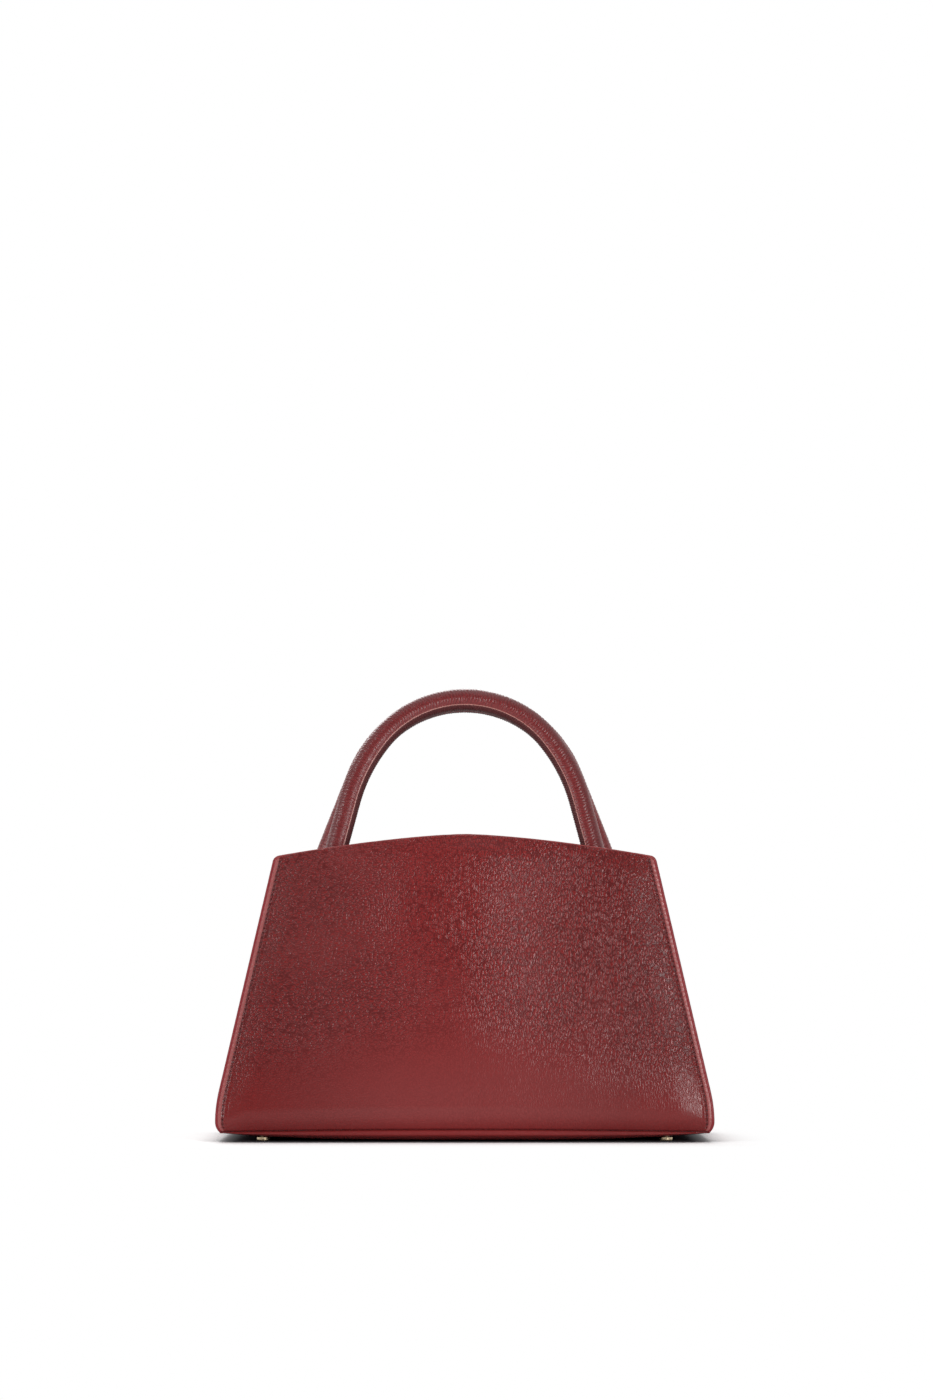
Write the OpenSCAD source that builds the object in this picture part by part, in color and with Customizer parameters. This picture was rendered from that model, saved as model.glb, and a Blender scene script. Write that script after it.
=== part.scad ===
// Top-handle leather bag: two leaning panels on a sagging base, folded gussets,
// two rolled handles, four feet, strap rings and the inside fittings.
// X runs across the bag, Y from the plain front face to the back, Z up from the floor.

/* [Body outline] */
// Widest width, just above the lower corners
body_w = 299; // [280:1:320]
// Width between the two top corners
top_w = 231; // [216:1:250]
// Height of the top corners above the floor
corner_z = 172; // [160:1:185]
// Rise of the top edge from its corners to its middle
crown_rise = 13.6; // [8:0.2:18]
// Height at which the body is widest
widest_z = 12; // [11:0.5:14]
// Radius of the long curve at the foot of each side edge
side_arc_r = 85; // [60:1:110]
// Radius of the lower corners, seen from the front
lower_corner_r = 9.5; // [8:0.5:10]
// Radius of the top corners
top_corner_r = 2.4; // [1:0.2:4]
// Depth of the body at the bottom
body_d = 120; // [112:1:134]
// Depth across the mouth at the middle of the top edge
mouth_d = 72; // [70:1:86]
// Radius at which the panels turn under into the base
turn_r = 13; // [11:0.5:15]
// Height of the seam between panel and base, at the middle
seam_z = 7.4; // [7:0.1:8]
// Fall of that seam towards the ends
seam_fall = 1.5; // [1:0.1:2]
// Sag of the base between its ends
base_sag = 3.2; // [2:0.1:3.6]

/* [Leather and boards] */
// Thickness of the outer leather
leather_t = 1.6; // [1.2:0.1:1.9]
// Thickness of the board inside each panel
board_t = 1.2; // [0.9:0.1:1.6]
// Thickness of the board in the base
base_board_t = 1.6; // [1.2:0.1:2]
// Thickness of the leather facing inside the mouth
facing_t = 1.4; // [1:0.1:1.6]
// Height of the leather facing
facing_h = 32; // [28:1:36]
// Thickness of the lining
lining_t = 0.6; // [0.5:0.1:0.8]

/* [Gussets] */
// Width of the sewn edge outside each gusset
flange_w = 4.4; // [3.5:0.1:5]
// Height of the gussets' top edge
gusset_top_z = 165; // [155:1:168]
// Depth of the fold at the gusset's top
fold_depth = 20; // [12:0.5:22]
// Width of the flat strip at the bottom of the fold
fold_land_w = 26; // [24.5:0.5:30]

/* [Handles] */
// Diameter of the rolled handles
handle_d = 13; // [11:0.1:13.4]
// Diameter of the cord inside them
core_d = 9.4; // [7:0.1:10]
// Height of the middle of the tube above the floor, at the crown
handle_top_z = 269.8; // [255:1:285]
// Height of the line that the handles swing about
handle_pivot_z = 172; // [169:0.5:173]
// Half the distance between the feet of the front handle
front_spread = 80; // [77:0.5:82]
// Half the distance between the feet of the rear handle
rear_spread = 88; // [84:0.5:89]
// Lean of the front handle's legs at the foot, in degrees
front_leg_lean = 14.5; // [12:0.5:17]
// Lean of the rear handle's legs at the foot, in degrees
rear_leg_lean = 21.8; // [19:0.2:23]
// Radius of the front handle's shoulders
front_shoulder_r = 107; // [100:1:114]
// Radius of the rear handle's shoulders
rear_shoulder_r = 80; // [76:1:90]
// Space between the two handles where they lean together
handle_gap = 0.6; // [0.4:0.1:1]
// Place of the raised seam round the tube, in degrees from its upper side
handle_seam_turn = 140; // [130:1:145]
// Width of the leather tab that holds a handle's foot
tab_w = 18; // [16:0.5:20]
// Length of that tab below its rivet
tab_tail = 11; // [9:0.5:14]
// Thickness of that tab
tab_t = 2.4; // [2:0.1:2.8]

/* [Feet] */
// Diameter of a foot
foot_d = 8; // [7:0.2:9]
// Height of a foot
foot_h = 2.6; // [2.5:0.1:3.2]
// Distance of a foot's middle from the side of the body
foot_side_in = 27.5; // [24:0.5:37]
// Distance of a foot's middle from the front or back of the body
foot_face_in = 20; // [18:0.5:26]
// Diameter of a foot's shank
foot_shank_d = 2.6; // [2:0.1:3.2]

/* [Strap rings] */
// Thickness of the ring's wire
ring_wire_d = 3; // [2.6:0.1:3.2]
// Inside width of the ring
ring_in_w = 16; // [15:0.5:17]
// Thickness of one layer of the ring's leather tab
ring_tab_t = 1.5; // [1.2:0.1:1.8]
// Height of the ring's bar
ring_bar_z = 146; // [140:1:150]

/* [Inside fittings] */
// Diameter of the magnetic snap
snap_d = 14; // [12:0.5:16]
// Distance from the sides of the zip pocket to the handle tabs
zip_pocket_side_in = 3; // [1:0.5:9]
// Height of the zip pocket
zip_pocket_h = 84; // [70:1:88]
// Length of the zip's opening
zip_len = 126; // [110:2:130]
// Distance between two teeth of one row
tooth_pitch = 3.2; // [3:0.1:4]
// Length of the zip's puller
puller_len = 22; // [18:1:26]
// Distance from the sides of the slip pocket to the handle tabs
slip_pocket_side_in = 2; // [1:0.5:16]
// Height of the slip pocket
slip_pocket_h = 80; // [70:1:90]

/* [Hidden] */
$fn = 40;

// Clearances: between sewn pieces, between pieces that only lie together, beside the gussets, round shanks,
// at turning pieces
sewn_gap = 0.1;
lay_gap = 0.3;
side_gap = 1;
shank_gap = 0.05;
turn_gap = 0.06;
// How far cuts run past what they cut
over = 2;
crown_power = 1.5;
sag_power = 4;

// Steps that curves are drawn in. The gusset's columns are odd in number, so that the ring's rivet goes
// through the middle of one
side_steps = 10;
crown_steps = 30;
corner_steps = 4;
turn_steps = 14;
gusset_rows = 14;
gusset_cols = 17;
base_steps = 40;
tab_steps = 12;
crown_rings = 8;
shoulder_rings = 6;
tube_sides = 18;

// Gussets: share of the columns on the flat strip and of the rows spaced evenly, room under the lining
// and beside it, and height at which the lining starts
land_share = 0.3;
even_rows_share = 0.35;
lining_ease = 0.8;
lining_side_gap = 1.5;
gusset_lining_foot = 12;

// Base and feet
base_corner_r = 6;
foot_chamfer = 0.5;
washer_r = 4.5;
washer_t = 0.6;
shank_end = 0.5;

// Handles: room beside the facing, turn of the crown arc from level, seam bead
pivot_ease = 1.8;
crown_turn = 38;
seam_bead = 0.5;

// Handle tabs and their rivets
tab_bend = 15;
tab_rivet_edge_in = 2.6;
rivet_head_r = 3.2;
rivet_head_t = 0.8;
rivet_shank_r = 1.4;
rivet_cap_r = 4.2;
rivet_cap_t = 1.5;

// Strap rings, their tabs and rivets
ring_corner_r = 3;
ring_side = 3;
ring_tab_ease = 0.6;
ring_tab_up = 17;
ring_rivet_up = 10.5;
ring_rivet_r = 3.4;
ring_rivet_t = 1.2;
ring_rivet_shank_r = 1.2;

// Snap
snap_t = 2.4;
snap_edge = 0.5;
snap_shank_r = 2;
snap_pin_r = 2.2;
snap_pin_len = 1.8;
snap_hole_ease = 0.3;
snap_washer_t = 0.7;

// Pockets
patch_t = 0.8;
patch_room = 2.6;
patch_rim = 1.4;
patch_corner_r = 10;
zip_pocket_drop = 8;
slip_pocket_drop = 12;

// Zip
zip_drop = 14;
zip_slot_h = 9.4;
tape_t = 0.6;
tape_w = 22;
tooth_t = 1.4;
tooth_len = 2.4;
tooth_gap = 0.2;
wedge_d = 1.2;
slider_len = 10;
slider_w = 8;
plate_t = 0.7;
crown_bar_r = 0.7;
crown_bar_up = 2;
crown_post = 1.2;
crown_half = 3.4;

// Puller
puller_t = 1.2;
puller_w = 6;
eye_r = 1.7;
eye_w = 4;
neck_w = 3;

leather_colour = [0.43, 0.16, 0.16];
lining_colour = [0.30, 0.24, 0.21];
board_colour = [0.62, 0.55, 0.45];
gold_colour = [0.86, 0.72, 0.50];
cord_colour = [0.85, 0.80, 0.70];

crown_z = corner_z + crown_rise;
half_w = body_w / 2;
half_top = top_w / 2;
foot_x = half_w - foot_side_in;
foot_y = body_d / 2 - foot_face_in;
stack_in = leather_t + board_t;
stack_facing = stack_in + facing_t;
stack_lining = stack_in + lining_t;
// Inset of boards and linings from the side edge, past the sewn edge and the gusset
side_inset = flange_w + leather_t + side_gap;

// Side edge: a straight line from the top corner that runs tangent into the long curve at the foot
side_c = [half_w - side_arc_r, widest_z];
side_v = [half_top, corner_z] - side_c;
side_lean = atan2(side_v.y, side_v.x) - acos(side_arc_r / norm(side_v));
side_line_z = side_c.y + side_arc_r * sin(side_lean);

function side_x(z) =
    z >= side_line_z ? side_c.x + side_arc_r * cos(side_lean) - (z - side_line_z) * tan(side_lean)
    : z >= widest_z ? side_c.x + sqrt(side_arc_r ^ 2 - (z - widest_z) ^ 2)
    : half_w - lower_corner_r + sqrt(max(0, lower_corner_r ^ 2 - (widest_z - z) ^ 2));

function crown(x) = corner_z + crown_rise * (1 - min(1, abs(x) / half_top) ^ crown_power);
function seam(x) = seam_z - seam_fall * (x / half_w) ^ 2;

// Underside of the base: lowest in the middle, and as high as a foot at the feet
sag_ref = half_w - lower_corner_r;
function sag_share(x) = (abs(x) / sag_ref) ^ sag_power;
low_z = foot_h - base_sag * sag_share(foot_x - foot_d / 2);
function under(x) = low_z + base_sag * sag_share(x);
// Room under the base lining for the shanks of the feet, whose washers lie level on the bowed board
base_ease = washer_t + shank_end + lay_gap + under(foot_x + washer_r) - under(foot_x - washer_r);
base_lining_up = leather_t + base_board_t + base_ease;

// Cross-section of the body: each panel is flat and leans in, and runs tangent into the turn at its foot
turn_c = [body_d / 2 - turn_r, low_z + turn_r];
wall_v = [mouth_d / 2, crown_z] - turn_c;
wall_lean = atan2(wall_v.y, wall_v.x) - acos(turn_r / norm(wall_v));

// Half depth of the body at height z, a distance inset inside its outer surface
function wall_y(z, inset) =
    let(r = turn_r - inset, z_line = turn_c.y + r * sin(wall_lean))
    z >= z_line ? turn_c.x + r * cos(wall_lean) - (z - z_line) * tan(wall_lean)
    : turn_c.x + sqrt(max(0, r ^ 2 - (z - turn_c.y) ^ 2));

// Place in the YZ plane of a point at a depth inside the back wall and a height along it, from the crown
function wall_place(depth, up) = [
    mouth_d / 2 - depth * cos(wall_lean) - up * sin(wall_lean),
    crown_z - depth * sin(wall_lean) + up * cos(wall_lean)
];

function turn_path(inset, from, to) = [
    for (k = [0:turn_steps])
        let(a = from + (to - from) * k / turn_steps)
        turn_c + (turn_r - inset) * [cos(a), sin(a)]
];
function wall_path(inset, from) = concat(
    turn_path(inset, from, wall_lean),
    [[wall_y(crown_z + over, inset), crown_z + over]]
);
function reversed(list) = [for (k = [len(list) - 1:-1:0]) list[k]];
function mirrored(list) = [for (p = reversed(list)) [-p.x, p.y]];

// Turns a drawing in the YZ plane into a bar along X
module along_x(length) rotate([90, 0, 90]) linear_extrude(height = length, center = true) children();
// Turns a drawing in the XZ plane into a bar along Y
module along_y(length) rotate([90, 0, 0]) linear_extrude(height = length, center = true) children();

// Outline of a panel seen from the front, drawn in by its sides, its top and its foot
function outline_half(side_in, top_in, foot_in) =
    let(
        start_z = seam(half_w) + foot_in,
        corner_x = side_x(crown(half_top - side_in) - top_in) - side_in,
        corner = [corner_x, crown(corner_x) - top_in],
        low = [side_x(corner.y - top_corner_r) - side_in, corner.y - top_corner_r],
        high_x = corner_x - top_corner_r,
        high = [high_x, crown(high_x) - top_in]
    )
    concat(
        [for (k = [0:side_steps])
            let(z = start_z + (side_line_z - start_z) * k / side_steps)
            [side_x(z) - side_in, z]],
        [for (k = [0:corner_steps])
            let(s = k / corner_steps)
            (1 - s) ^ 2 * low + 2 * s * (1 - s) * corner + s ^ 2 * high],
        [for (k = [1:crown_steps / 2 - 1])
            let(x = high_x * (1 - 2 * k / crown_steps))
            [x, crown(x) - top_in]]
    );
function foot_edge(side_in, foot_in) =
    let(x_end = side_x(seam(half_w) + foot_in) - side_in)
    [for (k = [1:crown_steps - 1])
        let(x = x_end * (2 * k / crown_steps - 1))
        [x, seam(x) + foot_in]];
function outline(side_in, top_in, foot_in) =
    let(right = outline_half(side_in, top_in, foot_in))
    concat(right, [[0, crown(0) - top_in]], mirrored(right), foot_edge(side_in, foot_in));

// One sheet of the back wall, between two insets from the outer surface
module wall_sheet(outer, inner, side_in, top_in, foot_in)
    intersection() {
        along_x(body_w + over)
            polygon(concat(wall_path(outer, -90), reversed(wall_path(inner, -90))));
        along_y(2 * body_d)
            polygon(outline(side_in, top_in, foot_in));
    }

module to_front() mirror([0, 1, 0]) children();
module to_left() mirror([1, 0, 0]) children();
// Frame on the back wall: z runs up along the wall from the crown, y outwards from the outer surface
module on_back() translate([0, mouth_d / 2, crown_z]) rotate([wall_lean, 0, 0]) children();
module on_front() to_front() on_back() children();
// Inside the frame on a wall: moves to a place across, a depth and a height along the wall, facing inwards
module inwards(x, depth, up) translate([x, -depth, up]) rotate([90, 0, 0]) children();

module disc(r, h) cylinder(r = r, h = h);
module box_between(low, high) translate(low) cube(high - low);

// Panels, boards, facings and linings
snap_up = -facing_h / 2;

module panel() wall_sheet(0, leather_t, 0, 0, 0);

// The holes in a wall for what is riveted or clenched through it
module wall_holes(spread, from, to, head_r, snap_r)
    on_back() {
        for (side = [-1, 1])
            inwards(side * spread, from, tab_rivet_up)
                disc(head_r, to - from);
        inwards(0, from, snap_up)
            disc(snap_r, to - from);
    }

pivot_depth = stack_facing + handle_d / 2 + pivot_ease;
pivot_up = (handle_pivot_z - crown_z + pivot_depth * sin(wall_lean)) / cos(wall_lean);
pivot_y = wall_place(pivot_depth, pivot_up).x;
// The tabs' rivets go through the facing, just above its lower edge
tab_rivet_z = crown(min(front_spread, rear_spread)) - facing_h + tab_rivet_edge_in;
tab_rivet_up = (tab_rivet_z - crown_z + stack_facing * sin(wall_lean)) / cos(wall_lean);

module board(spread)
    difference() {
        wall_sheet(leather_t, stack_in, side_inset, lay_gap, turn_c.y - seam_z);
        wall_holes(spread, leather_t - lay_gap, stack_in + lay_gap, rivet_head_r + lay_gap, snap_d / 2);
    }

module facing(spread)
    difference() {
        wall_sheet(stack_in, stack_facing, side_inset, 0, 0);
        along_y(2 * body_d)
            polygon(concat(
                [[half_w, 0], [half_w, crown(half_top) - facing_h]],
                [for (k = [0:crown_steps])
                    let(x = half_top * (1 - 2 * k / crown_steps))
                    [x, crown(x) - facing_h]],
                [[-half_w, crown(half_top) - facing_h], [-half_w, 0]]
            ));
        wall_holes(spread, stack_in - lay_gap, stack_facing + lay_gap, rivet_shank_r + shank_gap,
            snap_shank_r + shank_gap);
    }

// The wall linings start above the ends of the base lining
lining_foot = under(sag_ref) + base_lining_up + lining_t + lay_gap - seam(half_w);
module lining()
    wall_sheet(stack_in, stack_lining, side_inset, facing_h + sewn_gap, lining_foot);

module front_panel() color(leather_colour) to_front() panel();
module back_panel() color(leather_colour) panel();
module front_board() color(board_colour) to_front() board(front_spread);
module back_board() color(board_colour) board(rear_spread);
module front_facing() color(leather_colour) to_front() facing(front_spread);
module back_facing() color(leather_colour) facing(rear_spread);
module front_lining() color(lining_colour) to_front() lining();
module back_lining() color(lining_colour) lining();

// Gussets: the side walls, folded inwards to a flat strip, with a sewn edge along each panel
foot_z = seam(half_w) + lay_gap;

function smooth(s) = s ^ 2 * (3 - 2 * s);
function smooth_slope(s) = 6 * s * (1 - s);
function fold_at(z) = fold_depth * (z - foot_z) / (gusset_top_z - foot_z);
// Half depth of the gusset between the sewn edges
function gusset_y(z) = wall_y(z, leather_t) - sewn_gap - leather_t;
// Distance from the middle to the fold's wing, for a share across from -1 to 1
function across(z, s, reach) =
    let(land = fold_land_w / 2, t = abs(s))
    sign(s) * (t <= land_share ? land * t / land_share
        : land + (reach - land) * (t - land_share) / (1 - land_share));
// Point on the gusset's outer surface moved in by inset, at height z
function gusset_point(z, y, inset) =
    let(
        land = fold_land_w / 2,
        wing = gusset_y(z) - land,
        s = max(0, min(1, (abs(y) - land) / wing)),
        slope = sign(y) * fold_at(z) * smooth_slope(s) / wing,
        x = side_x(z) - flange_w - fold_at(z) * (1 - smooth(s))
    )
    [x, y, z] - inset * [1, -slope, 0] / norm([1, slope]);

function gusset_heights(from, to) = [
    for (k = [0:gusset_rows])
        let(s = k / gusset_rows)
        from + (to - from) * s * (even_rows_share + (1 - even_rows_share) * s)
];
inner_cols_shares = [for (k = [1:gusset_cols - 1]) 2 * k / gusset_cols - 1];

function gusset_outer(z) =
    let(d = gusset_y(z), x_tip = side_x(z), x_in = side_x(z) - flange_w)
    concat(
        [[x_tip, -d, z], [x_in, -d, z]],
        [for (s = inner_cols_shares) gusset_point(z, across(z, s, d), 0)],
        [[x_in, d, z], [x_tip, d, z]]
    );
function gusset_inner(z) =
    let(d = gusset_y(z), x_tip = side_x(z), x_in = side_x(z) - flange_w - leather_t)
    concat(
        [[x_tip, -d - leather_t, z], [x_in, -d - leather_t, z]],
        [for (s = inner_cols_shares) gusset_point(z, across(z, s, d), leather_t)],
        [[x_in, d + leather_t, z], [x_tip, d + leather_t, z]]
    );
function lining_strip(z, inset) =
    let(reach = wall_y(z, stack_facing) - lining_side_gap)
    [for (k = [0:gusset_cols])
        gusset_point(z, across(z, 2 * k / gusset_cols - 1, reach), inset)];

// A closed sheet between two grids of points, one row of each for every height
module sheet(outer_rows, inner_rows) {
    rows = len(outer_rows);
    cols = len(outer_rows[0]);
    half = rows * cols;
    points = concat([for (row = outer_rows) each row], [for (row = inner_rows) each row]);
    function at(side, i, j) = side * half + i * cols + j;
    function pair(a, b, c, d) = [[a, b, c], [a, c, d]];
    faces = concat(
        [for (i = [0:rows - 2], j = [0:cols - 2])
            each pair(at(0, i, j), at(0, i + 1, j), at(0, i + 1, j + 1), at(0, i, j + 1))],
        [for (i = [0:rows - 2], j = [0:cols - 2])
            each pair(at(1, i, j), at(1, i, j + 1), at(1, i + 1, j + 1), at(1, i + 1, j))],
        [for (j = [0:cols - 2])
            each pair(at(0, 0, j), at(0, 0, j + 1), at(1, 0, j + 1), at(1, 0, j))],
        [for (j = [0:cols - 2])
            each pair(at(0, rows - 1, j), at(1, rows - 1, j), at(1, rows - 1, j + 1), at(0, rows - 1, j + 1))],
        [for (i = [0:rows - 2])
            each pair(at(0, i, 0), at(1, i, 0), at(1, i + 1, 0), at(0, i + 1, 0))],
        [for (i = [0:rows - 2])
            each pair(at(0, i, cols - 1), at(0, i + 1, cols - 1), at(1, i + 1, cols - 1), at(1, i, cols - 1))]
    );
    polyhedron(points = points, faces = faces);
}

module gusset()
    difference() {
        sheet(
            [for (z = gusset_heights(foot_z, gusset_top_z)) gusset_outer(z)],
            [for (z = gusset_heights(foot_z, gusset_top_z)) gusset_inner(z)]
        );
        on_land()
            translate([-leather_t - over, 0, ring_rivet_up])
            rotate([0, 90, 0])
            disc(ring_rivet_shank_r + shank_gap, leather_t + 2 * over);
    }
module gusset_lining()
    sheet(
        [for (z = gusset_heights(gusset_lining_foot, gusset_top_z - lay_gap))
            lining_strip(z, leather_t + lining_ease)],
        [for (z = gusset_heights(gusset_lining_foot, gusset_top_z - lay_gap))
            lining_strip(z, leather_t + lining_ease + lining_t)]
    );

module right_gusset() color(leather_colour) gusset();
module left_gusset() color(leather_colour) to_left() gusset();
module right_gusset_lining() color(lining_colour) gusset_lining();
module left_gusset_lining() color(lining_colour) to_left() gusset_lining();

// Base: a leather tray with turned-up rims, a bowed board and a lining
tip_x = side_x(under(half_w));
function under_edge(reach, lift) = [
    for (k = [0:base_steps])
        let(x = reach * (2 * k / base_steps - 1))
        [x, under(x) + lift]
];
function base_profile(inset) =
    let(rim = seam(half_w), reach = tip_x - inset)
    inset > 0
    ? concat(under_edge(reach, inset), [[reach, seam_z + over], [-reach, seam_z + over]])
    : concat(
        under_edge(reach, 0),
        [[side_x(rim), rim]],
        reversed(foot_edge(0, 0)),
        [[-side_x(rim), rim]]
    );
module body_core(inset)
    along_x(body_w + over)
        polygon(concat(
            turn_path(inset, -90, 0),
            [[turn_c.x + turn_r - inset, turn_c.y + over]],
            [[-turn_c.x - turn_r + inset, turn_c.y + over]],
            mirrored(turn_path(inset, -90, 0))
        ));
module base_core(inset)
    intersection() {
        body_core(inset);
        along_y(2 * body_d) polygon(base_profile(inset));
    }
module base_panel()
    color(leather_colour)
    difference() {
        base_core(0);
        base_core(leather_t);
        at_feet() disc(foot_shank_d / 2 + shank_gap, turn_r);
    }

base_board_w = 2 * sag_ref - 2 * lay_gap;
base_board_d = 2 * turn_c.x - 2 * lay_gap;
module round_plate(w, d, r, h)
    linear_extrude(height = h) {
        square([w - 2 * r, d], center = true);
        square([w, d - 2 * r], center = true);
        for (sx = [-1, 1], sy = [-1, 1])
            translate([sx * (w / 2 - r), sy * (d / 2 - r)])
            circle(r);
    }
module bowed_plate(w, d, from, to)
    intersection() {
        along_y(d + over)
            polygon(concat(under_edge(tip_x - leather_t, from), reversed(under_edge(tip_x - leather_t, to))));
        round_plate(w, d, base_corner_r, turn_c.y + turn_r);
    }
module base_board()
    color(board_colour)
    difference() {
        bowed_plate(base_board_w, base_board_d, leather_t, leather_t + base_board_t);
        at_feet() disc(foot_shank_d / 2 + shank_gap, turn_r);
    }
base_lining_d = 2 * wall_y(under(0) + base_lining_up, leather_t) - 2 * lay_gap;
module base_lining()
    color(lining_colour)
    bowed_plate(base_board_w, base_lining_d, base_lining_up, base_lining_up + lining_t);

// Feet: a chamfered cap below the base, and a shank through leather, board and washer
foot_top = under(foot_x - foot_d / 2);
washer_z = under(foot_x + washer_r) + leather_t + base_board_t;
module at_feet()
    for (sx = [-1, 1], sy = [-1, 1])
        translate([sx * foot_x, sy * foot_y, 0])
        children();
module foot() {
    r = foot_d / 2;
    rotate_extrude()
        polygon([
            [0, 0], [r - foot_chamfer, 0], [r, foot_chamfer],
            [r, foot_top - foot_chamfer], [r - foot_chamfer, foot_top], [0, foot_top]
        ]);
    disc(foot_shank_d / 2, washer_z + washer_t);
    translate([0, 0, washer_z + washer_t])
        cylinder(r1 = foot_shank_d / 2 + shank_end, r2 = foot_shank_d / 2, h = shank_end);
}
module foot_at(sx, sy) color(gold_colour) translate([sx * foot_x, sy * foot_y, 0]) foot();
module foot_front_left() foot_at(-1, -1);
module foot_front_right() foot_at(1, -1);
module foot_back_left() foot_at(-1, 1);
module foot_back_right() foot_at(1, 1);
module foot_washers()
    color(gold_colour)
    at_feet()
        translate([0, 0, washer_z])
        difference() {
            disc(washer_r, washer_t);
            translate([0, 0, -over]) disc(foot_shank_d / 2 + shank_gap, washer_t + 2 * over);
        }

// Handles: in their own plane, a crown arc, two shoulder arcs and two straight legs, all tangent
handle_tilt = atan2(pivot_y - handle_d / 2 - handle_gap / 2, handle_top_z - handle_pivot_z);
handle_rise = (handle_top_z - handle_pivot_z) / cos(handle_tilt);
leg_end = tab_t + lay_gap;

// Centres and outward normals of the rings from the crown down to one foot, in the handle's plane
function half_route(spread, leg_lean, shoulder_r) =
    let(
        across_left = spread - shoulder_r * (cos(leg_lean) - cos(crown_turn)),
        up_left = handle_rise - shoulder_r * (sin(crown_turn) - sin(leg_lean)),
        share = cos(crown_turn) * cos(leg_lean) - sin(leg_lean) * (1 - sin(crown_turn)),
        crown_r = (across_left * cos(leg_lean) - up_left * sin(leg_lean)) / share,
        crown_c = [0, handle_rise - crown_r],
        shoulder_c = crown_c + (crown_r - shoulder_r) * [cos(crown_turn), sin(crown_turn)]
    )
    concat(
        [for (k = [0:crown_rings])
            let(a = 90 + (crown_turn - 90) * k / crown_rings, n = [cos(a), sin(a)])
            [crown_c + crown_r * n, n]],
        [for (k = [1:shoulder_rings])
            let(a = crown_turn + (leg_lean - crown_turn) * k / shoulder_rings, n = [cos(a), sin(a)])
            [shoulder_c + shoulder_r * n, n]],
        [let(n = [cos(leg_lean), sin(leg_lean)])
            [[spread, 0] + leg_end * [-tan(leg_lean), 1], n]]
    );
function flipped(p) = [-p.x, p.y];
function route(spread, leg_lean, shoulder_r) =
    let(right = half_route(spread, leg_lean, shoulder_r))
    concat(
        [for (k = [len(right) - 1:-1:1]) [flipped(right[k][0]), flipped(right[k][1])]],
        right
    );
// Points of one ring; the two end rings are sheared level, so that the tube ends flat above its tab
function ring_points(place, r, bead, last) =
    let(c = place[0], n = place[1], t = [n.y, -n.x])
    [for (k = [0:tube_sides - 1])
        let(
            a = 360 * k / tube_sides,
            r_k = r + (abs(a - handle_seam_turn) < 180 / tube_sides ? bead : 0),
            p = c + r_k * cos(a) * n,
            q = last ? p - t * (p.y - c.y) / t.y : p
        )
        [q.x, r_k * sin(a), q.y]];
function rings(path, r, bead) = [
    for (k = [0:len(path) - 1])
        ring_points(path[k], r, bead, k == 0 || k == len(path) - 1)
];
// A tube through rings of points, solid or with a bore
module tube(outer, inner = []) {
    n = len(outer[0]);
    m = len(outer);
    hollow = len(inner) > 0;
    function at(side, i, j) = side * m * n + i * n + j % n;
    function wall(side) = [
        for (i = [0:m - 2], j = [0:n - 1])
            each side == 0
                ? [[at(0, i, j), at(0, i, j + 1), at(0, i + 1, j + 1)], [at(0, i, j), at(0, i + 1, j + 1), at(0, i + 1, j)]]
                : [[at(1, i, j), at(1, i + 1, j), at(1, i + 1, j + 1)], [at(1, i, j), at(1, i + 1, j + 1), at(1, i, j + 1)]]
    ];
    caps = hollow
        ? [for (j = [0:n - 1])
            each [
                [at(0, 0, j), at(1, 0, j), at(1, 0, j + 1), at(0, 0, j + 1)],
                [at(0, m - 1, j), at(0, m - 1, j + 1), at(1, m - 1, j + 1), at(1, m - 1, j)]
            ]]
        : [[for (j = [n - 1:-1:0]) at(0, 0, j)], [for (j = [0:n - 1]) at(0, m - 1, j)]];
    polyhedron(
        points = concat([for (r = outer) each r], [for (r = inner) each r]),
        faces = concat(wall(0), hollow ? wall(1) : [], caps)
    );
}
// Places a handle made in its own plane at the back of the mouth, leaning to the middle
module at_pivot() translate([0, pivot_y, handle_pivot_z]) rotate([handle_tilt, 0, 0]) children();
module handle_cover(spread, leg_lean, shoulder_r) {
    path = route(spread, leg_lean, shoulder_r);
    tube(rings(path, handle_d / 2, seam_bead), rings(path, core_d / 2 + sewn_gap, 0));
}
module handle_core(spread, leg_lean, shoulder_r)
    tube(rings(route(spread, leg_lean, shoulder_r), core_d / 2, 0));

module front_handle_cover()
    color(leather_colour)
    to_front() at_pivot() handle_cover(front_spread, front_leg_lean, front_shoulder_r);
module front_handle_core()
    color(cord_colour)
    to_front() at_pivot() handle_core(front_spread, front_leg_lean, front_shoulder_r);
module rear_handle_cover()
    color(leather_colour)
    at_pivot() handle_cover(rear_spread, rear_leg_lean, rear_shoulder_r);
module rear_handle_core()
    color(cord_colour)
    at_pivot() handle_core(rear_spread, rear_leg_lean, rear_shoulder_r);

// Tabs: a rolled end under each leg, from which the leather bends onto the facing and runs down it
tab_flat_depth = stack_facing + sewn_gap + tab_t / 2;
function tab_depth(s) = tab_flat_depth + (pivot_depth - tab_flat_depth) * (1 - smooth(s));
function tab_path() = concat(
    [for (k = [0:tab_steps]) [-tab_depth(k / tab_steps), pivot_up - tab_bend * k / tab_steps]],
    [[-tab_flat_depth, tab_rivet_up - tab_tail]]
);
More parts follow.
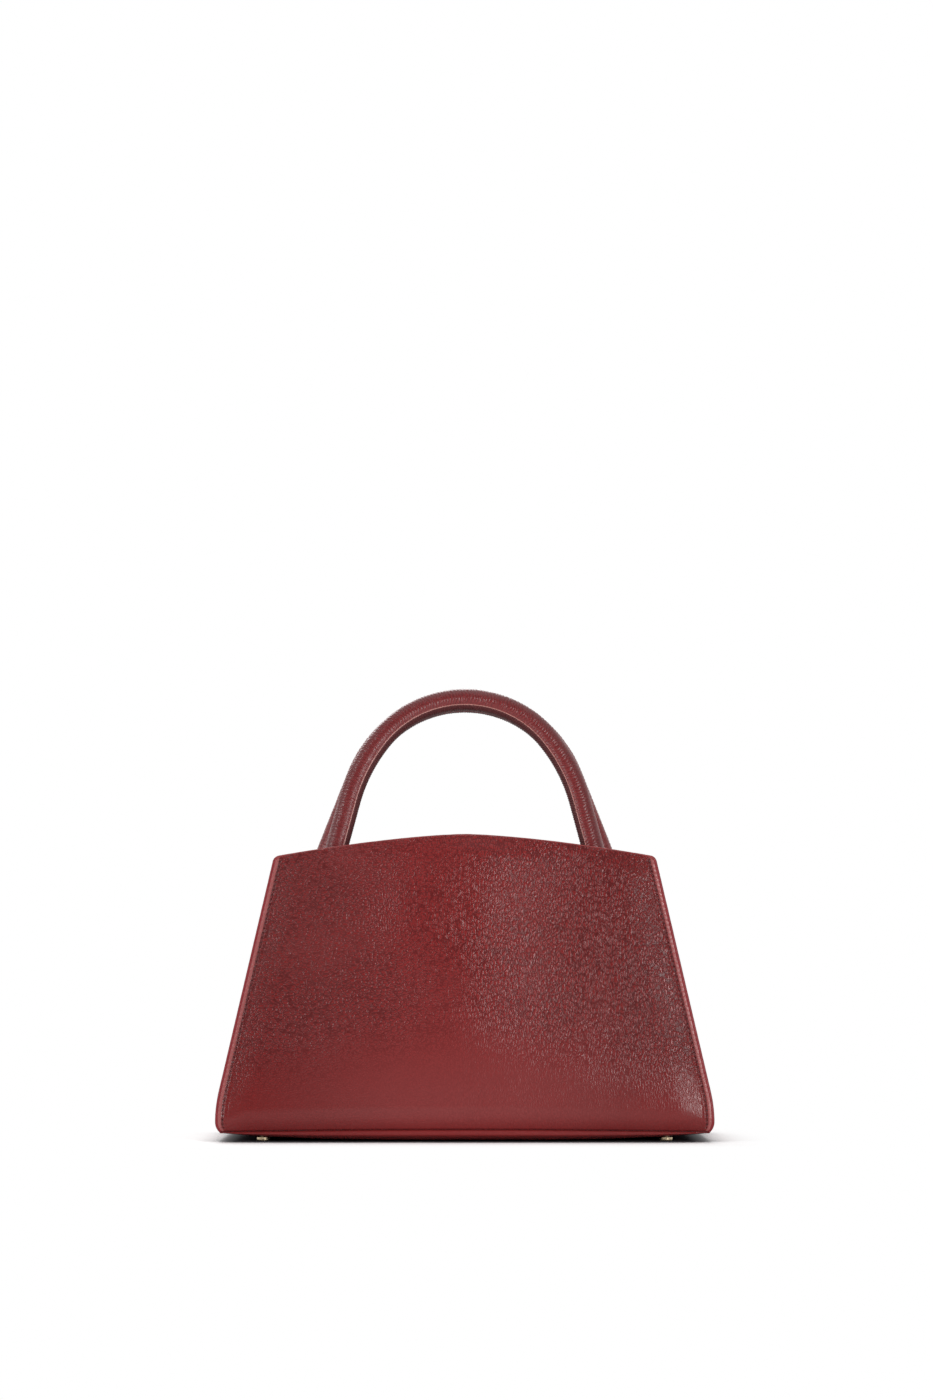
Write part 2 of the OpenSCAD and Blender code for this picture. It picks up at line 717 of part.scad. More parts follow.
// Outline of a strip of a given thickness along a path
function strip(path, t) =
    let(
        last = len(path) - 1,
        normals = [for (k = [0:last])
            let(d = path[min(last, k + 1)] - path[max(0, k - 1)])
            [-d.y, d.x] / norm(d)]
    )
    concat(
        [for (k = [0:last]) path[k] + normals[k] * t / 2],
        [for (k = [last:-1:0]) path[k] - normals[k] * t / 2]
    );
module handle_tab()
    difference() {
        union() {
            along_x(tab_w) polygon(strip(tab_path(), tab_t));
            translate([0, -pivot_depth, pivot_up])
                rotate([0, 90, 0])
                cylinder(r = tab_t, h = tab_w, center = true);
        }
        inwards(0, stack_in, tab_rivet_up)
            disc(rivet_shank_r + shank_gap, handle_d);
    }
module handle_tabs(spread)
    on_back()
        for (side = [-1, 1])
            translate([side * spread, 0, 0])
            handle_tab();
module front_handle_tabs() color(leather_colour) to_front() handle_tabs(front_spread);
module rear_handle_tabs() color(leather_colour) handle_tabs(rear_spread);

// Rivets: a domed cap on the tab, a shank, and a flat head sunk in the board
module tab_rivet() {
    cap_depth = tab_flat_depth + tab_t / 2;
    disc(rivet_head_r, rivet_head_t);
    disc(rivet_shank_r, cap_depth - leather_t);
    translate([0, 0, cap_depth - leather_t])
        rivet_cap(rivet_cap_r, rivet_cap_t);
}
// A low dome: the top of a sphere whose cap has the given radius and height
module rivet_cap(r, h) {
    ball = (r ^ 2 + h ^ 2) / (2 * h);
    intersection() {
        translate([0, 0, h - ball]) sphere(r = ball);
        disc(r, h);
    }
}
module handle_rivets(spread)
    on_back()
        for (side = [-1, 1])
            inwards(side * spread, leather_t, tab_rivet_up)
            tab_rivet();
module front_handle_rivets() color(gold_colour) to_front() handle_rivets(front_spread);
module rear_handle_rivets() color(gold_colour) handle_rivets(rear_spread);

// Strap rings: a wire D whose bar turns in the rolled end of a tab sewn to the gusset's flat strip
wire_r = ring_wire_d / 2;
ring_half = ring_in_w / 2 + wire_r;
ring_tab_w = 2 * (ring_half - ring_corner_r - ring_tab_ease);
ring_roll_r = wire_r + turn_gap + ring_tab_t;
ring_bar_out = ring_roll_r + sewn_gap;
ring_reach = ring_corner_r + ring_side + ring_half;
ring_rest = asin((ring_bar_out - wire_r - lay_gap) / ring_reach);
land_lean = atan2(
    gusset_point(side_line_z, 0, 0).x - gusset_point(gusset_top_z, 0, 0).x,
    gusset_top_z - side_line_z
);
// Frame on the gusset's flat strip at the ring's bar: x runs outwards from it, z up along it
module on_land()
    translate(gusset_point(ring_bar_z, 0, 0))
        rotate([0, -land_lean, 0])
        children();
module ring_tab()
    on_land()
        difference() {
            union() {
                box_between(
                    [sewn_gap, -ring_tab_w / 2, 0],
                    [sewn_gap + 2 * ring_tab_t, ring_tab_w / 2, ring_tab_up]
                );
                translate([ring_bar_out, 0, 0])
                    rotate([90, 0, 0])
                    cylinder(r = ring_roll_r, h = ring_tab_w, center = true);
            }
            translate([ring_bar_out, 0, 0])
                rotate([90, 0, 0])
                cylinder(r = wire_r + turn_gap, h = ring_tab_w + over, center = true);
            translate([-over, 0, ring_rivet_up])
                rotate([0, 90, 0])
                disc(ring_rivet_shank_r + shank_gap, 2 * over + 2 * ring_tab_t);
        }
module wire_turn(r, angle)
    rotate_extrude(angle = angle)
        translate([r, 0])
        circle(r = wire_r, $fn = 32);
// The D stands in the YZ plane with its bar on the Y axis, and hangs down from it
module ring_d()
    rotate([90, 0, 90]) {
        rotate([0, 90, 0])
            cylinder(r = wire_r, h = 2 * (ring_half - ring_corner_r), center = true, $fn = 32);
        for (side = [0, 1])
            mirror([side, 0, 0]) {
                translate([ring_half - ring_corner_r, -ring_corner_r, 0])
                    wire_turn(ring_corner_r, 90);
                translate([ring_half, -ring_corner_r, 0])
                    rotate([90, 0, 0])
                    cylinder(r = wire_r, h = ring_side, $fn = 32);
            }
        translate([0, -ring_corner_r - ring_side, 0])
            rotate([0, 0, 180])
            wire_turn(ring_half, 180);
    }
module ring()
    on_land()
        translate([ring_bar_out, 0, 0])
        rotate([0, ring_rest, 0])
        ring_d();
// A flat head behind the gusset, a shank through gusset and tab, and a domed cap
module ring_rivet() {
    head_out = leather_t * cos(land_lean);
    head_t = lining_ease * cos(land_lean) - sewn_gap;
    cap_out = sewn_gap + 2 * ring_tab_t;
    on_land()
        translate([0, 0, ring_rivet_up])
        rotate([0, 90, 0]) {
            translate([0, 0, -head_out - head_t])
                disc(ring_rivet_r, head_t);
            translate([0, 0, -head_out - head_t])
                disc(ring_rivet_shank_r, head_out + head_t + cap_out);
            translate([0, 0, cap_out])
                rivet_cap(ring_rivet_r, ring_rivet_t);
        }
}
module right_ring_tab() color(leather_colour) ring_tab();
module left_ring_tab() color(leather_colour) to_left() ring_tab();
module right_ring() color(gold_colour) ring();
module left_ring() color(gold_colour) to_left() ring();
module right_ring_rivet() color(gold_colour) ring_rivet();
module left_ring_rivet() color(gold_colour) to_left() ring_rivet();

// Magnetic snap: a socket on the front facing and a stud on the back one, each clenched on a washer
module snap_body(r, h)
    rotate_extrude()
        polygon([[0, 0], [r, 0], [r, h - snap_edge], [r - snap_edge, h], [0, h]]);
module snap_stud()
    color(gold_colour)
    on_back()
        inwards(0, stack_facing, snap_up) {
            snap_body(snap_d / 2, snap_t);
            translate([0, 0, snap_t]) disc(snap_pin_r, snap_pin_len);
            translate([0, 0, -facing_t]) disc(snap_shank_r, facing_t);
        }
module snap_socket()
    color(gold_colour)
    on_front()
        inwards(0, stack_facing, snap_up)
        difference() {
            union() {
                snap_body(snap_d / 2, snap_t);
                translate([0, 0, -facing_t]) disc(snap_shank_r, facing_t);
            }
            translate([0, 0, snap_t - snap_pin_len])
                disc(snap_pin_r + snap_hole_ease, snap_pin_len + over);
        }
module snap_washer()
    on_back()
        inwards(0, stack_in - snap_washer_t, snap_up)
        disc(snap_d / 2 - lay_gap, snap_washer_t);
module snap_washers()
    color(gold_colour) {
        snap_washer();
        to_front() snap_washer();
    }

// Pockets: a fabric patch with closed sides and foot, standing a little off the lining
zip_pocket_up = -facing_h - zip_pocket_drop;
slip_pocket_up = -facing_h - slip_pocket_drop;
module patch_plan(w, h, r) {
    translate([-w / 2, -h + r]) square([w, h - r]);
    translate([-w / 2 + r, -h]) square([w - 2 * r, h]);
    for (side = [-1, 1])
        translate([side * (w / 2 - r), -h + r])
        circle(r);
}
// Drawn in the plane of the wall, and raised from a depth inwards
module raised(depth, t) rotate([90, 0, 0]) translate([0, 0, depth]) linear_extrude(height = t) children();
pocket_depth = stack_lining + sewn_gap;
zip_pocket_w = 2 * (rear_spread - tab_w / 2 - zip_pocket_side_in);
slip_pocket_w = 2 * (front_spread - tab_w / 2 - slip_pocket_side_in);
module patch(w, h, top_rim)
    difference() {
        raised(pocket_depth, patch_room + patch_t)
            patch_plan(w, h, patch_corner_r);
        raised(pocket_depth - over, patch_room + over)
            translate([0, -top_rim])
            patch_plan(w - 2 * patch_rim, h - patch_rim - top_rim, patch_corner_r - patch_rim);
    }
module zip_pocket()
    color(lining_colour)
    on_back()
        translate([0, 0, zip_pocket_up])
        difference() {
            patch(zip_pocket_w, zip_pocket_h, patch_rim);
            raised(pocket_depth - over, patch_room + patch_t + 2 * over)
                translate([0, -zip_drop])
                square([zip_len, zip_slot_h], center = true);
        }
module slip_pocket()
    color(lining_colour)
    on_front()
        translate([0, 0, slip_pocket_up])
        difference() {
            patch(slip_pocket_w, slip_pocket_h, 0);
            raised(pocket_depth - over, patch_room + over)
                translate([-slip_pocket_w / 2 + patch_rim, -patch_rim])
                square([slip_pocket_w - 2 * patch_rim, patch_rim + over]);
        }

// Zip, open: tape behind the slot, two parted rows of teeth, and a slider with a hanging puller
tooth_w = tooth_pitch / 2 - tooth_gap;
zip_up = zip_pocket_up - zip_drop;
tape_depth = pocket_depth + patch_room - lay_gap - tape_t;
teeth_depth = tape_depth + tape_t / 2 - tooth_t / 2;
tooth_count = floor((zip_len - slider_len) / tooth_pitch);
row_y = wedge_d / 2 + lay_gap;
module on_zip(depth) on_back() translate([0, -depth, zip_up]) rotate([90, 0, 0]) children();
module zip_tape()
    color(lining_colour)
    on_zip(tape_depth)
        for (side = [0, 1])
            mirror([0, side, 0])
            box_between(
                [-zip_len / 2 - patch_rim, row_y + tooth_len, 0],
                [zip_len / 2 + patch_rim, tape_w / 2, tape_t]
            );
module zip_teeth()
    color(gold_colour)
    on_zip(teeth_depth)
        for (k = [0:tooth_count - 1], side = [0, 1])
            translate([(k - tooth_count / 2 + side / 2) * tooth_pitch - slider_len / 2, 0, 0])
            mirror([0, side, 0])
            box_between([0, row_y, 0], [tooth_w, row_y + tooth_len, tooth_t]);

slider_x = zip_len / 2 - slider_len;
channel_t = tooth_t + 2 * lay_gap;
slider_depth = teeth_depth - lay_gap - plate_t;
module slider_plate()
    linear_extrude(height = plate_t) {
        square([slider_len - slider_w, slider_w], center = true);
        for (side = [-1, 1])
            translate([side * (slider_len - slider_w) / 2, 0])
            circle(d = slider_w);
    }
module zip_slider()
    color(gold_colour)
    on_zip(slider_depth)
        translate([slider_x, 0, 0]) {
            top = plate_t + channel_t;
            slider_plate();
            translate([0, 0, top]) slider_plate();
            // Wedge between the two rows, which holds the plates together
            translate([slider_len / 2 - wedge_d, 0, plate_t])
                disc(wedge_d / 2, channel_t);
            for (side = [-1, 1])
                translate([side * crown_half, 0, top + plate_t])
                translate([-crown_post / 2, -crown_post / 2, 0])
                cube([crown_post, crown_post, crown_bar_up + crown_bar_r]);
            translate([0, 0, top + plate_t + crown_bar_up])
                rotate([0, 90, 0])
                cylinder(r = crown_bar_r, h = 2 * crown_half, center = true, $fn = 24);
        }

bar_depth = slider_depth + 2 * plate_t + channel_t + crown_bar_up;
module zip_puller()
    color(gold_colour)
    on_back()
        translate([slider_x, -bar_depth, zip_up])
        rotate([-wall_lean, 0, 0])
        difference() {
            union() {
                rotate([0, 90, 0]) cylinder(r = eye_r, h = eye_w, center = true, $fn = 32);
                box_between([-neck_w / 2, -puller_t / 2, -puller_len / 2], [neck_w / 2, puller_t / 2, 0]);
                rotate([90, 0, 0])
                    translate([0, 0, -puller_t / 2])
                    linear_extrude(height = puller_t) {
                        translate([-puller_w / 2, -puller_len + puller_w / 2])
                            square([puller_w, puller_len - puller_w]);
                        translate([0, -puller_len + puller_w / 2])
                            circle(d = puller_w);
                    }
            }
            rotate([0, 90, 0])
                cylinder(r = crown_bar_r + turn_gap, h = eye_w + over, center = true, $fn = 32);
        }

front_panel();
back_panel();
left_gusset();
right_gusset();
base_panel();
front_board();
back_board();
base_board();
front_facing();
back_facing();
front_lining();
back_lining();
left_gusset_lining();
right_gusset_lining();
base_lining();
front_handle_cover();
front_handle_core();
rear_handle_cover();
rear_handle_core();
front_handle_tabs();
rear_handle_tabs();
front_handle_rivets();
rear_handle_rivets();
left_ring_tab();
right_ring_tab();
left_ring();
right_ring();
left_ring_rivet();
right_ring_rivet();
foot_front_left();
foot_front_right();
foot_back_left();
foot_back_right();
foot_washers();
snap_stud();
snap_socket();
snap_washers();
zip_pocket();
zip_tape();
zip_teeth();
zip_slider();
zip_puller();
slip_pocket();
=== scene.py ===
"""Dresses the frame of a top-handle leather bag: shell, gussets, rolled handles, lining and metal."""

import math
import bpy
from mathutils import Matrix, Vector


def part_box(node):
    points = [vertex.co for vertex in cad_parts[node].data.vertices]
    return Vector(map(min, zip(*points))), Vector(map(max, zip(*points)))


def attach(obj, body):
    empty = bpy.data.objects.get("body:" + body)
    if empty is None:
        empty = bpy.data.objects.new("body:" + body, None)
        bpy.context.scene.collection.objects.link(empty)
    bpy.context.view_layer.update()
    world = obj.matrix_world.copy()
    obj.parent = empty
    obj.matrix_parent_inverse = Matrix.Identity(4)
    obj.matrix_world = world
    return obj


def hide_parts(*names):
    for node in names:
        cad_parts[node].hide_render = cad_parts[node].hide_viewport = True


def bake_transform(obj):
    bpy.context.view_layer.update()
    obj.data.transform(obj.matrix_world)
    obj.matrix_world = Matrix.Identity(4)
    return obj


bl_info = {
    "name": "Top-handle leather bag",
    "version": (1, 0, 0),
    "blender": (4, 5, 0),
    "location": "3D View > Sidebar > Bag",
    "description": "Leather shell, gussets, rolled handles, lining and metal fittings of a top-handle bag",
    "category": "Object",
}

import bmesh
import bpy
import numpy as np
from bpy.props import FloatProperty, FloatVectorProperty, PointerProperty
from bpy.types import Operator, Panel, PropertyGroup
from mathutils import Vector, noise

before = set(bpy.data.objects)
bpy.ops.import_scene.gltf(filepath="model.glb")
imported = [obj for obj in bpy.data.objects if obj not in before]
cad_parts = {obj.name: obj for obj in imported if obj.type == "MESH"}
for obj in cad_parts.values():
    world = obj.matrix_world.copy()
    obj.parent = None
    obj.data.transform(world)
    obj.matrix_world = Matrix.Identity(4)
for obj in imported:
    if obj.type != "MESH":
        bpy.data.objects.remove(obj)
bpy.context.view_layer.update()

MM = 0.001

# Body outline, as the frame has it
BODY_W = 299 * MM
TOP_W = 231 * MM
CORNER_Z = 172 * MM
CROWN_RISE = 13.6 * MM
CROWN_POWER = 1.5
WIDEST_Z = 12 * MM
SIDE_ARC_R = 85 * MM
LOWER_CORNER_R = 9.5 * MM
TOP_CORNER_R = 2.4 * MM
BODY_D = 120 * MM
MOUTH_D = 72 * MM
TURN_R = 13 * MM
SEAM_Z = 7.4 * MM
SEAM_FALL = 1.5 * MM
BASE_SAG = 3.2 * MM
SAG_POWER = 4

# Layers of a wall, from the outside in
LEATHER_T = 1.6 * MM
BOARD_T = 1.2 * MM
FACING_T = 1.4 * MM
FACING_H = 32 * MM
LINING_T = 0.6 * MM
SEWN_GAP = 0.1 * MM
LAY_GAP = 0.3 * MM
SIDE_IN = 7 * MM
STACK_IN = LEATHER_T + BOARD_T
STACK_FACING = STACK_IN + FACING_T

# Gussets
FLANGE_W = 4.4 * MM
GUSSET_TOP_Z = 165 * MM
FOLD_DEPTH = 20 * MM
FOLD_LAND_W = 26 * MM

# Handles
HANDLE_R = 6.5 * MM
CORE_R = 4.7 * MM
HANDLE_TOP_Z = 269.8 * MM
PIVOT_Z = 172 * MM
PIVOT_EASE = 1.8 * MM
HANDLE_GAP = 0.6 * MM
CROWN_TURN = math.radians(38)
HANDLES = {
    "front": {"spread": 80 * MM, "lean": math.radians(14.5), "shoulder_r": 107 * MM, "side": -1},
    "rear": {"spread": 88 * MM, "lean": math.radians(21.8), "shoulder_r": 80 * MM, "side": 1},
}
TAB_W = 18 * MM
TAB_T = 2.4 * MM
TAB_BEND = 15 * MM
TAB_TAIL = 11 * MM
TAB_RIVET_EDGE_IN = 2.6 * MM

CROWN_Z = CORNER_Z + CROWN_RISE
HALF_W = BODY_W / 2
HALF_TOP = TOP_W / 2


def tangent_angle(centre, radius, point):
    """Lean from upright of the line from a point that touches a circle, in radians."""
    dx, dz = point[0] - centre[0], point[1] - centre[1]
    return math.atan2(dz, dx) - math.acos(radius / math.hypot(dx, dz))


SIDE_C = (HALF_W - SIDE_ARC_R, WIDEST_Z)
SIDE_LEAN = tangent_angle(SIDE_C, SIDE_ARC_R, (HALF_TOP, CORNER_Z))
SIDE_LINE_Z = SIDE_C[1] + SIDE_ARC_R * math.sin(SIDE_LEAN)
SAG_REF = HALF_W - LOWER_CORNER_R
LOW_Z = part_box("base_panel")[0].z
TURN_C = (BODY_D / 2 - TURN_R, LOW_Z + TURN_R)
WALL_LEAN = tangent_angle(TURN_C, TURN_R, (MOUTH_D / 2, CROWN_Z))
FOOT_Z = SEAM_Z - SEAM_FALL + LAY_GAP


def side_x(z):
    """Half width of the body at height z."""
    z = np.asarray(z, float)
    line = SIDE_C[0] + SIDE_ARC_R * math.cos(SIDE_LEAN) - (z - SIDE_LINE_Z) * math.tan(SIDE_LEAN)
    arc = SIDE_C[0] + np.sqrt(np.maximum(0, SIDE_ARC_R**2 - (z - WIDEST_Z) ** 2))
    low = SAG_REF + np.sqrt(np.maximum(0, LOWER_CORNER_R**2 - (WIDEST_Z - z) ** 2))
    return np.where(z >= SIDE_LINE_Z, line, np.where(z >= WIDEST_Z, arc, low))


def crown(x):
    """Height of the top edge."""
    return CORNER_Z + CROWN_RISE * (1 - np.minimum(1, np.abs(x) / HALF_TOP) ** CROWN_POWER)


def seam(x):
    """Height of the seam between panel and base."""
    return SEAM_Z - SEAM_FALL * (np.asarray(x) / HALF_W) ** 2


def under(x):
    """Height of the underside of the base."""
    return LOW_Z + BASE_SAG * (np.abs(x) / SAG_REF) ** SAG_POWER


def wall_y(z, inset=0.0):
    """Half depth of the body at height z, a distance inset inside its outer surface."""
    z = np.asarray(z, float)
    r = TURN_R - inset
    line_z = TURN_C[1] + r * math.sin(WALL_LEAN)
    line = TURN_C[0] + r * math.cos(WALL_LEAN) - (z - line_z) * math.tan(WALL_LEAN)
    arc = TURN_C[0] + np.sqrt(np.maximum(0, r**2 - (z - TURN_C[1]) ** 2))
    return np.where(z >= line_z, line, arc)


def wall_place(depth, up):
    """Place (y, z) of a point at a depth inside the back wall, at a height along it from the crown."""
    sin, cos = math.sin(WALL_LEAN), math.cos(WALL_LEAN)
    return MOUTH_D / 2 - depth * cos - up * sin, CROWN_Z - depth * sin + up * cos


def smooth(s):
    """A soft step from 0 to 1."""
    s = np.clip(s, 0, 1)
    return s * s * (3 - 2 * s)


def mound(distance, width):
    """A soft bump of height 1 at distance 0."""
    return np.exp(-((distance / width) ** 2))


def ripple(points, scale, seed=0.0):
    """Smooth noise from -1 to 1 at each point. scale may differ along the three axes."""
    p = np.asarray(points).reshape(-1, 3) * np.asarray(scale, float) + seed
    values = np.array([noise.noise(v) for v in p.tolist()])
    return values.reshape(np.asarray(points).shape[:-1])


def edge_fall(distance, radius):
    """How far a rounded edge falls back near its border."""
    d = np.clip(distance, 0, radius)
    return radius - np.sqrt(np.maximum(0, radius**2 - (radius - d) ** 2))


def unit(vectors):
    """The vectors, each at length 1."""
    return vectors / np.maximum(np.linalg.norm(vectors, axis=-1, keepdims=True), 1e-12)


def grid_normals(points):
    """Unit normals of a grid of points."""
    along, across = np.gradient(points, axis=0), np.gradient(points, axis=1)
    return unit(np.cross(across, along))


def facing_way(normals, way):
    """The normals turned so that on average they point along way."""
    return normals if (normals.reshape(-1, 3) @ np.asarray(way, float)).sum() > 0 else -normals


def steps(low, high, step):
    """Even places from low to high, about a step apart."""
    return np.linspace(low, high, max(2, round((high - low) / step) + 1))


def lengths_along(line):
    """Length along a line of points, from its start to each of them."""
    return np.concatenate([[0], np.cumsum(np.linalg.norm(np.diff(line, axis=0), axis=1))])


def even_run(line, pitch):
    """Points at an even pitch along a line of points."""
    lengths = lengths_along(line)
    marks = np.linspace(pitch, lengths[-1] - pitch, max(2, round(lengths[-1] / pitch) - 1))
    return np.stack([np.interp(marks, lengths, line[:, k]) for k in range(3)], axis=1)


def round_section(across, up, sides):
    """Directions from the middle of a tube to its sides, from the two directions across it."""
    turn = 2 * math.pi * np.arange(sides) / sides
    return across[..., None, :] * np.cos(turn)[:, None] + up[..., None, :] * np.sin(turn)[:, None]


# Meshes

# One stitch: place along it, thickness of its thread and height, as shares
STITCH_FORM = (
    (0.04, 0.45, -1.2), (0.14, 0.9, -0.1), (0.3, 1, 0.75), (0.5, 1, 1), (0.7, 1, 0.75), (0.86, 0.9, -0.1),
    (0.96, 0.45, -1.2),
)
THREAD_SIDES = 8


def placed(name, data):
    """A new object in the scene."""
    made = bpy.data.objects.new(name, data)
    bpy.context.scene.collection.objects.link(made)
    return made


def mesh_piece(name, points, faces, materials, indices=None, values=None, sharp=50):
    """A closed mesh with outward normals, smooth but for its edges sharper than so many degrees."""
    mesh = bpy.data.meshes.new(name)
    mesh.from_pydata(np.asarray(points).tolist(), [], faces)
    for key, value in (values or {}).items():
        kind, slot = ("FLOAT", "value") if value.ndim == 1 else ("FLOAT_VECTOR", "vector")
        attribute = mesh.attributes.new(key, kind, "POINT")
        attribute.data.foreach_set(slot, value.astype(np.float32).ravel())
    for material in materials:
        mesh.materials.append(material)
    if indices is not None:
        mesh.polygons.foreach_set("material_index", np.asarray(indices, np.int32))
    work = bmesh.new()
    work.from_mesh(mesh)
    bmesh.ops.recalc_face_normals(work, faces=work.faces)
    work.to_mesh(mesh)
    work.free()
    mesh.shade_smooth()
    mesh.set_sharp_from_angle(angle=math.radians(sharp))
    return placed(name, mesh)


def sheet_piece(name, face, back, materials, keep=None, values=None):
    """A closed sheet between two grids of points. Its rim has the second material."""
    rows, cols = face.shape[:2]
    at = np.arange(rows * cols).reshape(rows, cols)
    quads = np.stack([at[:-1, :-1], at[1:, :-1], at[1:, 1:], at[:-1, 1:]], axis=2)
    quads = quads[keep] if keep is not None else quads.reshape(-1, 4)
    edges = np.concatenate([quads[:, [k, (k + 1) % 4]] for k in range(4)])
    there = {(a, b) for a, b in edges.tolist()}
    half = rows * cols
    rim = [(b, a, a + half, b + half) for a, b in there if (b, a) not in there]
    faces = quads.tolist() + (quads[:, ::-1] + half).tolist() + rim
    indices = [0] * (2 * len(quads)) + [min(1, len(materials) - 1)] * len(rim)
    points = np.concatenate([face.reshape(-1, 3), back.reshape(-1, 3)])
    doubled = {
        key: np.concatenate([v.reshape(half, -1)] * 2).squeeze() for key, v in (values or {}).items()
    }
    piece = mesh_piece(name, points, faces, materials, indices, doubled)
    if keep is not None:
        drop_loose_points(piece)
    return piece


def drop_loose_points(piece):
    """Takes away the points that no face of the piece uses."""
    work = bmesh.new()
    work.from_mesh(piece.data)
    loose = [v for v in work.verts if not v.link_faces]
    bmesh.ops.delete(work, geom=loose, context="VERTS")
    work.to_mesh(piece.data)
    work.free()


def tube_faces(rings, sides, start=0):
    """Faces of a closed tube whose points start at a number, ring by ring."""
    at = start + np.arange(rings * sides).reshape(rings, sides)
    after = np.roll(at, -1, axis=1)
    faces = np.stack([at[:-1], after[:-1], after[1:], at[1:]], axis=2).reshape(-1, 4).tolist()
    return faces + [at[0, ::-1].tolist(), at[-1].tolist()]


def tube_piece(name, rings, material, values=None):
    """A closed tube through rings of points."""
    count, sides = rings.shape[:2]
    flat = {key: v.reshape(count * sides, -1).squeeze() for key, v in (values or {}).items()}
    faces = tube_faces(count, sides)
    return mesh_piece(name, rings.reshape(-1, 3), faces, [material], values=flat, sharp=60)


def stitch_row(holes, normals, radius, rise):
    """Points and faces of a row of stitches, one thread bump from each hole to the next."""
    places, thick, high = np.array(STITCH_FORM).T
    a, b = holes[:-1, None], holes[1:, None]
    n = unit(normals[:-1, None] + normals[1:, None])
    middle = a + (b - a) * places[None, :, None] + n * (rise * high)[None, :, None]
    ring = round_section(unit(np.cross(b - a, n)), n, THREAD_SIDES)
    ring = ring * (radius * thick)[None, :, None, None]
    points = (middle[:, :, None] + ring).reshape(-1, 3)
    faces = []
    for k in range(len(holes) - 1):
        faces += tube_faces(len(places), THREAD_SIDES, k * len(places) * THREAD_SIDES)
    return points, faces


def sew(name, rows, radius, rise):
    """Rows of stitches as one piece of the bag. Each row is a list of holes and their normals."""
    points, faces = [], []
    count = 0
    for holes, normals in rows:
        p, f = stitch_row(np.asarray(holes), np.asarray(normals), radius, rise)
        faces += [[i + count for i in face] for face in f]
        points.append(p)
        count += len(p)
    dress(mesh_piece(name, np.concatenate(points), faces, [sewing_thread()]), "leather")


def dress(piece, slot, *nodes, body="bag"):
    """Gives a piece its body and hides the frame's nodes that it stands for. Its slot is not used."""
    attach(piece, body)
    if nodes:
        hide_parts(*nodes)


def leather_piece(name, face, back, *nodes, cover=None, values=None):
    """A sheet of leather with painted edges, on the bag."""
    materials = [cover or plain_leather(), painted_edges()]
    dress(sheet_piece(name, face, back, materials, values=values), "leather", *nodes)


# Materials

# Stretch of the grain where its pebbles lie across, where they stand upright, and along the handles
LYING = (0.75, 1.0, 1.35)
UPRIGHT = (1.25, 1.0, 0.55)
ALONG_HANDLE = (1.5, 0.6, 1.0)
# Where across the bag the grain turns from lying to upright, and how far that line wanders
TURN_FROM, TURN_TO, TURN_WANDER = -70 * MM, 20 * MM, 160 * MM
# Fineness of the leather's slow drift, its handled places and its pores, in waves to the metre
DRIFT_WAVES = 14.0
WORN_WAVES = 9.0
PORE_WAVES = 2600.0


def paint(r, g, b):
    """A colour given from 0 to 255 as a screen shows it."""
    parts = [c / 255 for c in (r, g, b)]
    return [c / 12.92 if c <= 0.04045 else ((c + 0.055) / 1.055) ** 2.4 for c in parts]


class Wire:
    """One output socket. Arithmetic on it adds Math nodes."""

    def __init__(self, recipe, socket):
        self.recipe = recipe
        self.socket = socket

    def math(self, operation, *values):
        return self.recipe.make("ShaderNodeMath", {"operation": operation}, dict(enumerate(values)))

    def __add__(self, other):
        return self.math("ADD", self, other)

    def __radd__(self, other):
        return self.math("ADD", other, self)

    def __sub__(self, other):
        return self.math("SUBTRACT", self, other)

    def __rsub__(self, other):
        return self.math("SUBTRACT", other, self)

    def __mul__(self, other):
        return self.math("MULTIPLY", self, other)

    def __rmul__(self, other):
        return self.math("MULTIPLY", other, self)

    def __truediv__(self, other):
        return self.math("DIVIDE", self, other)

    def __pow__(self, other):
        return self.math("POWER", self, other)

    def __abs__(self):
        return self.math("ABSOLUTE", self)


